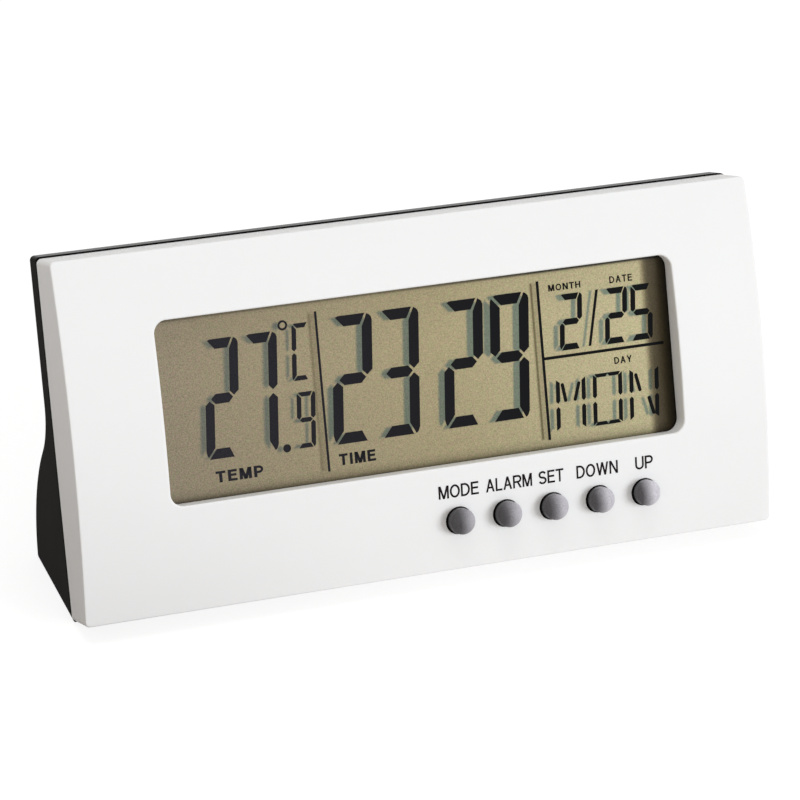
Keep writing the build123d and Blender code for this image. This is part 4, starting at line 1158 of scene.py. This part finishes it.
def build_floor():
    """Pale floor, white where it is seen, that keeps a soft shadow of the clock."""
    corners = [(-1, -1), (1, -1), (1, 1), (-1, 1)]
    mesh = bpy.data.meshes.new("floor")
    mesh.from_pydata([(x * FLOOR_HALF, y * FLOOR_HALF, 0.0) for x, y in corners], [], [(0, 1, 2, 3)])
    floor = bpy.data.objects.new("floor", mesh)
    bpy.context.scene.collection.objects.link(floor)

    finish = Finish("floor", FLOOR_COLOUR, 0.9, specular=0.0)
    # Painted shadow of the clock on the floor to its left, which darkens the light the floor throws
    # back
    away = finish.node("ShaderNodeVectorMath", {1: FLOOR_SHADOW_PLACE}, operation="DISTANCE")
    finish.link(finish.place, away.inputs[0])
    floor_shadow_fade = finish.spread(away.outputs["Value"], 0.0, 1.0, FLOOR_SHADOW_NEAR, FLOOR_SHADOW_FAR)
    finish.paint(finish.blend(floor_shadow_fade, FLOOR_SHADOW_COLOUR, FLOOR_COLOUR))
    paper = finish.node("ShaderNodeBsdfDiffuse", {"Color": SEEN_SHADE})
    glow = finish.node("ShaderNodeEmission", {"Color": WHITE_LIGHT, "Strength": SEEN_GLOW})
    both = finish.node("ShaderNodeAddShader")
    finish.link(paper.outputs[0], both.inputs[0])
    finish.link(glow.outputs[0], both.inputs[1])
    show_seen(finish.tree, finish.shader, both, finish.tree.nodes["Material Output"])
    mesh.materials.append(finish.material)


AMBIENT = 0.51
AMBIENT_COLOUR = (1.0, 0.98, 0.96, 1.0)


def build_world():
    """Even soft light, with a white background where it is seen."""
    world = bpy.data.worlds.new("studio")
    world.use_nodes = True
    bpy.context.scene.world = world
    tree = world.node_tree
    tree.nodes.clear()
    shaders = []
    for colour, strength in ((AMBIENT_COLOUR, AMBIENT), (WHITE_LIGHT, 1.0)):
        shader = tree.nodes.new("ShaderNodeBackground")
        fill(shader, {"Color": colour, "Strength": strength})
        shaders.append(shader)
    show_seen(tree, *shaders, tree.nodes.new("ShaderNodeOutputWorld"))


# Lamps: name, direction, distance and size in metres, level, colour
LAMPS = (
    ("key", (0.630, -0.728, 0.270), 8.0, (3.8, 3.2), 0.612, (0.94, 0.967, 1.0)),
    ("fill", (-0.80, -0.50, 0.30), 3.0, (1.6, 1.6), 0.035, (1.0, 0.70, 0.45)),
    ("top", (-0.10, 0.12, 1.0), 2.2, (1.2, 1.2), 0.245, (1.0, 1.0, 1.0)),
)


def build_lights():
    """Soft lamps aimed at the face; at level 1 one alone would show white paper facing it as white."""
    centre = place(0.0, FACE_HEIGHT / 2, 0.0)
    for name, direction, distance, size, level, colour in LAMPS:
        lamp = bpy.data.lights.new(name, "AREA")
        lamp.shape = "RECTANGLE"
        lamp.size, lamp.size_y = size
        lamp.energy = level * (math.pi * distance) ** 2
        lamp.color = colour
        holder = bpy.data.objects.new(name, lamp)
        aim = Vector(direction).normalized()
        holder.location = centre + aim * distance
        holder.rotation_mode = "QUATERNION"
        holder.rotation_quaternion = aim.to_track_quat("Z", "Y")
        bpy.context.scene.collection.objects.link(holder)


# Camera, solved from the clock's corners and from the window's and the display's edges in the
# photograph: the line of sight and its distance, the point aimed at, the focal length in pixels
SIGHT_TURN = math.radians(24.23314)
SIGHT_DROP = math.radians(31.30718)
SIGHT_ROLL = math.radians(5.08182)
SIGHT_DISTANCE = 774.0985
AIM_HEIGHT = 35.0
AIM_RIGHT = 1.43963
AIM_UP = 1.63496
FOCAL_PIXELS = 3933.979
PHOTO_WIDTH = 800
SENSOR = 36.0
CLIP_NEAR = 0.05
CLIP_FAR = 20.0


def build_camera():
    """Camera at the photograph's viewing angle, with a long lens."""
    turn, drop, roll = SIGHT_TURN, SIGHT_DROP, SIGHT_ROLL
    sight = Vector((math.sin(turn) * math.cos(drop), math.cos(turn) * math.cos(drop), -math.sin(drop)))
    level_right = Vector((math.cos(turn), -math.sin(turn), 0.0))
    level_up = level_right.cross(sight)
    right = math.cos(roll) * level_right + math.sin(roll) * level_up
    up = -math.sin(roll) * level_right + math.cos(roll) * level_up
    aim = place(0.0, AIM_HEIGHT, 0.0)
    eye = aim - MM * (AIM_RIGHT * right + AIM_UP * up + SIGHT_DISTANCE * sight)
    data = bpy.data.cameras.new("camera")
    data.sensor_width = SENSOR
    data.lens = FOCAL_PIXELS / PHOTO_WIDTH * SENSOR
    data.clip_start = CLIP_NEAR
    data.clip_end = CLIP_FAR
    camera = bpy.data.objects.new("camera", data)
    axes = Matrix((right, up, -sight)).transposed().to_4x4()
    camera.matrix_world = Matrix.Translation(eye) @ axes
    bpy.context.scene.collection.objects.link(camera)
    bpy.context.scene.camera = camera


def main():
    dress_cad_nodes()
    build_display()
    build_button_words()
    build_floor()
    build_world()
    build_lights()
    build_camera()
    bpy.context.scene.view_settings.view_transform = "Standard"


main()
bpy.context.view_layer.update()
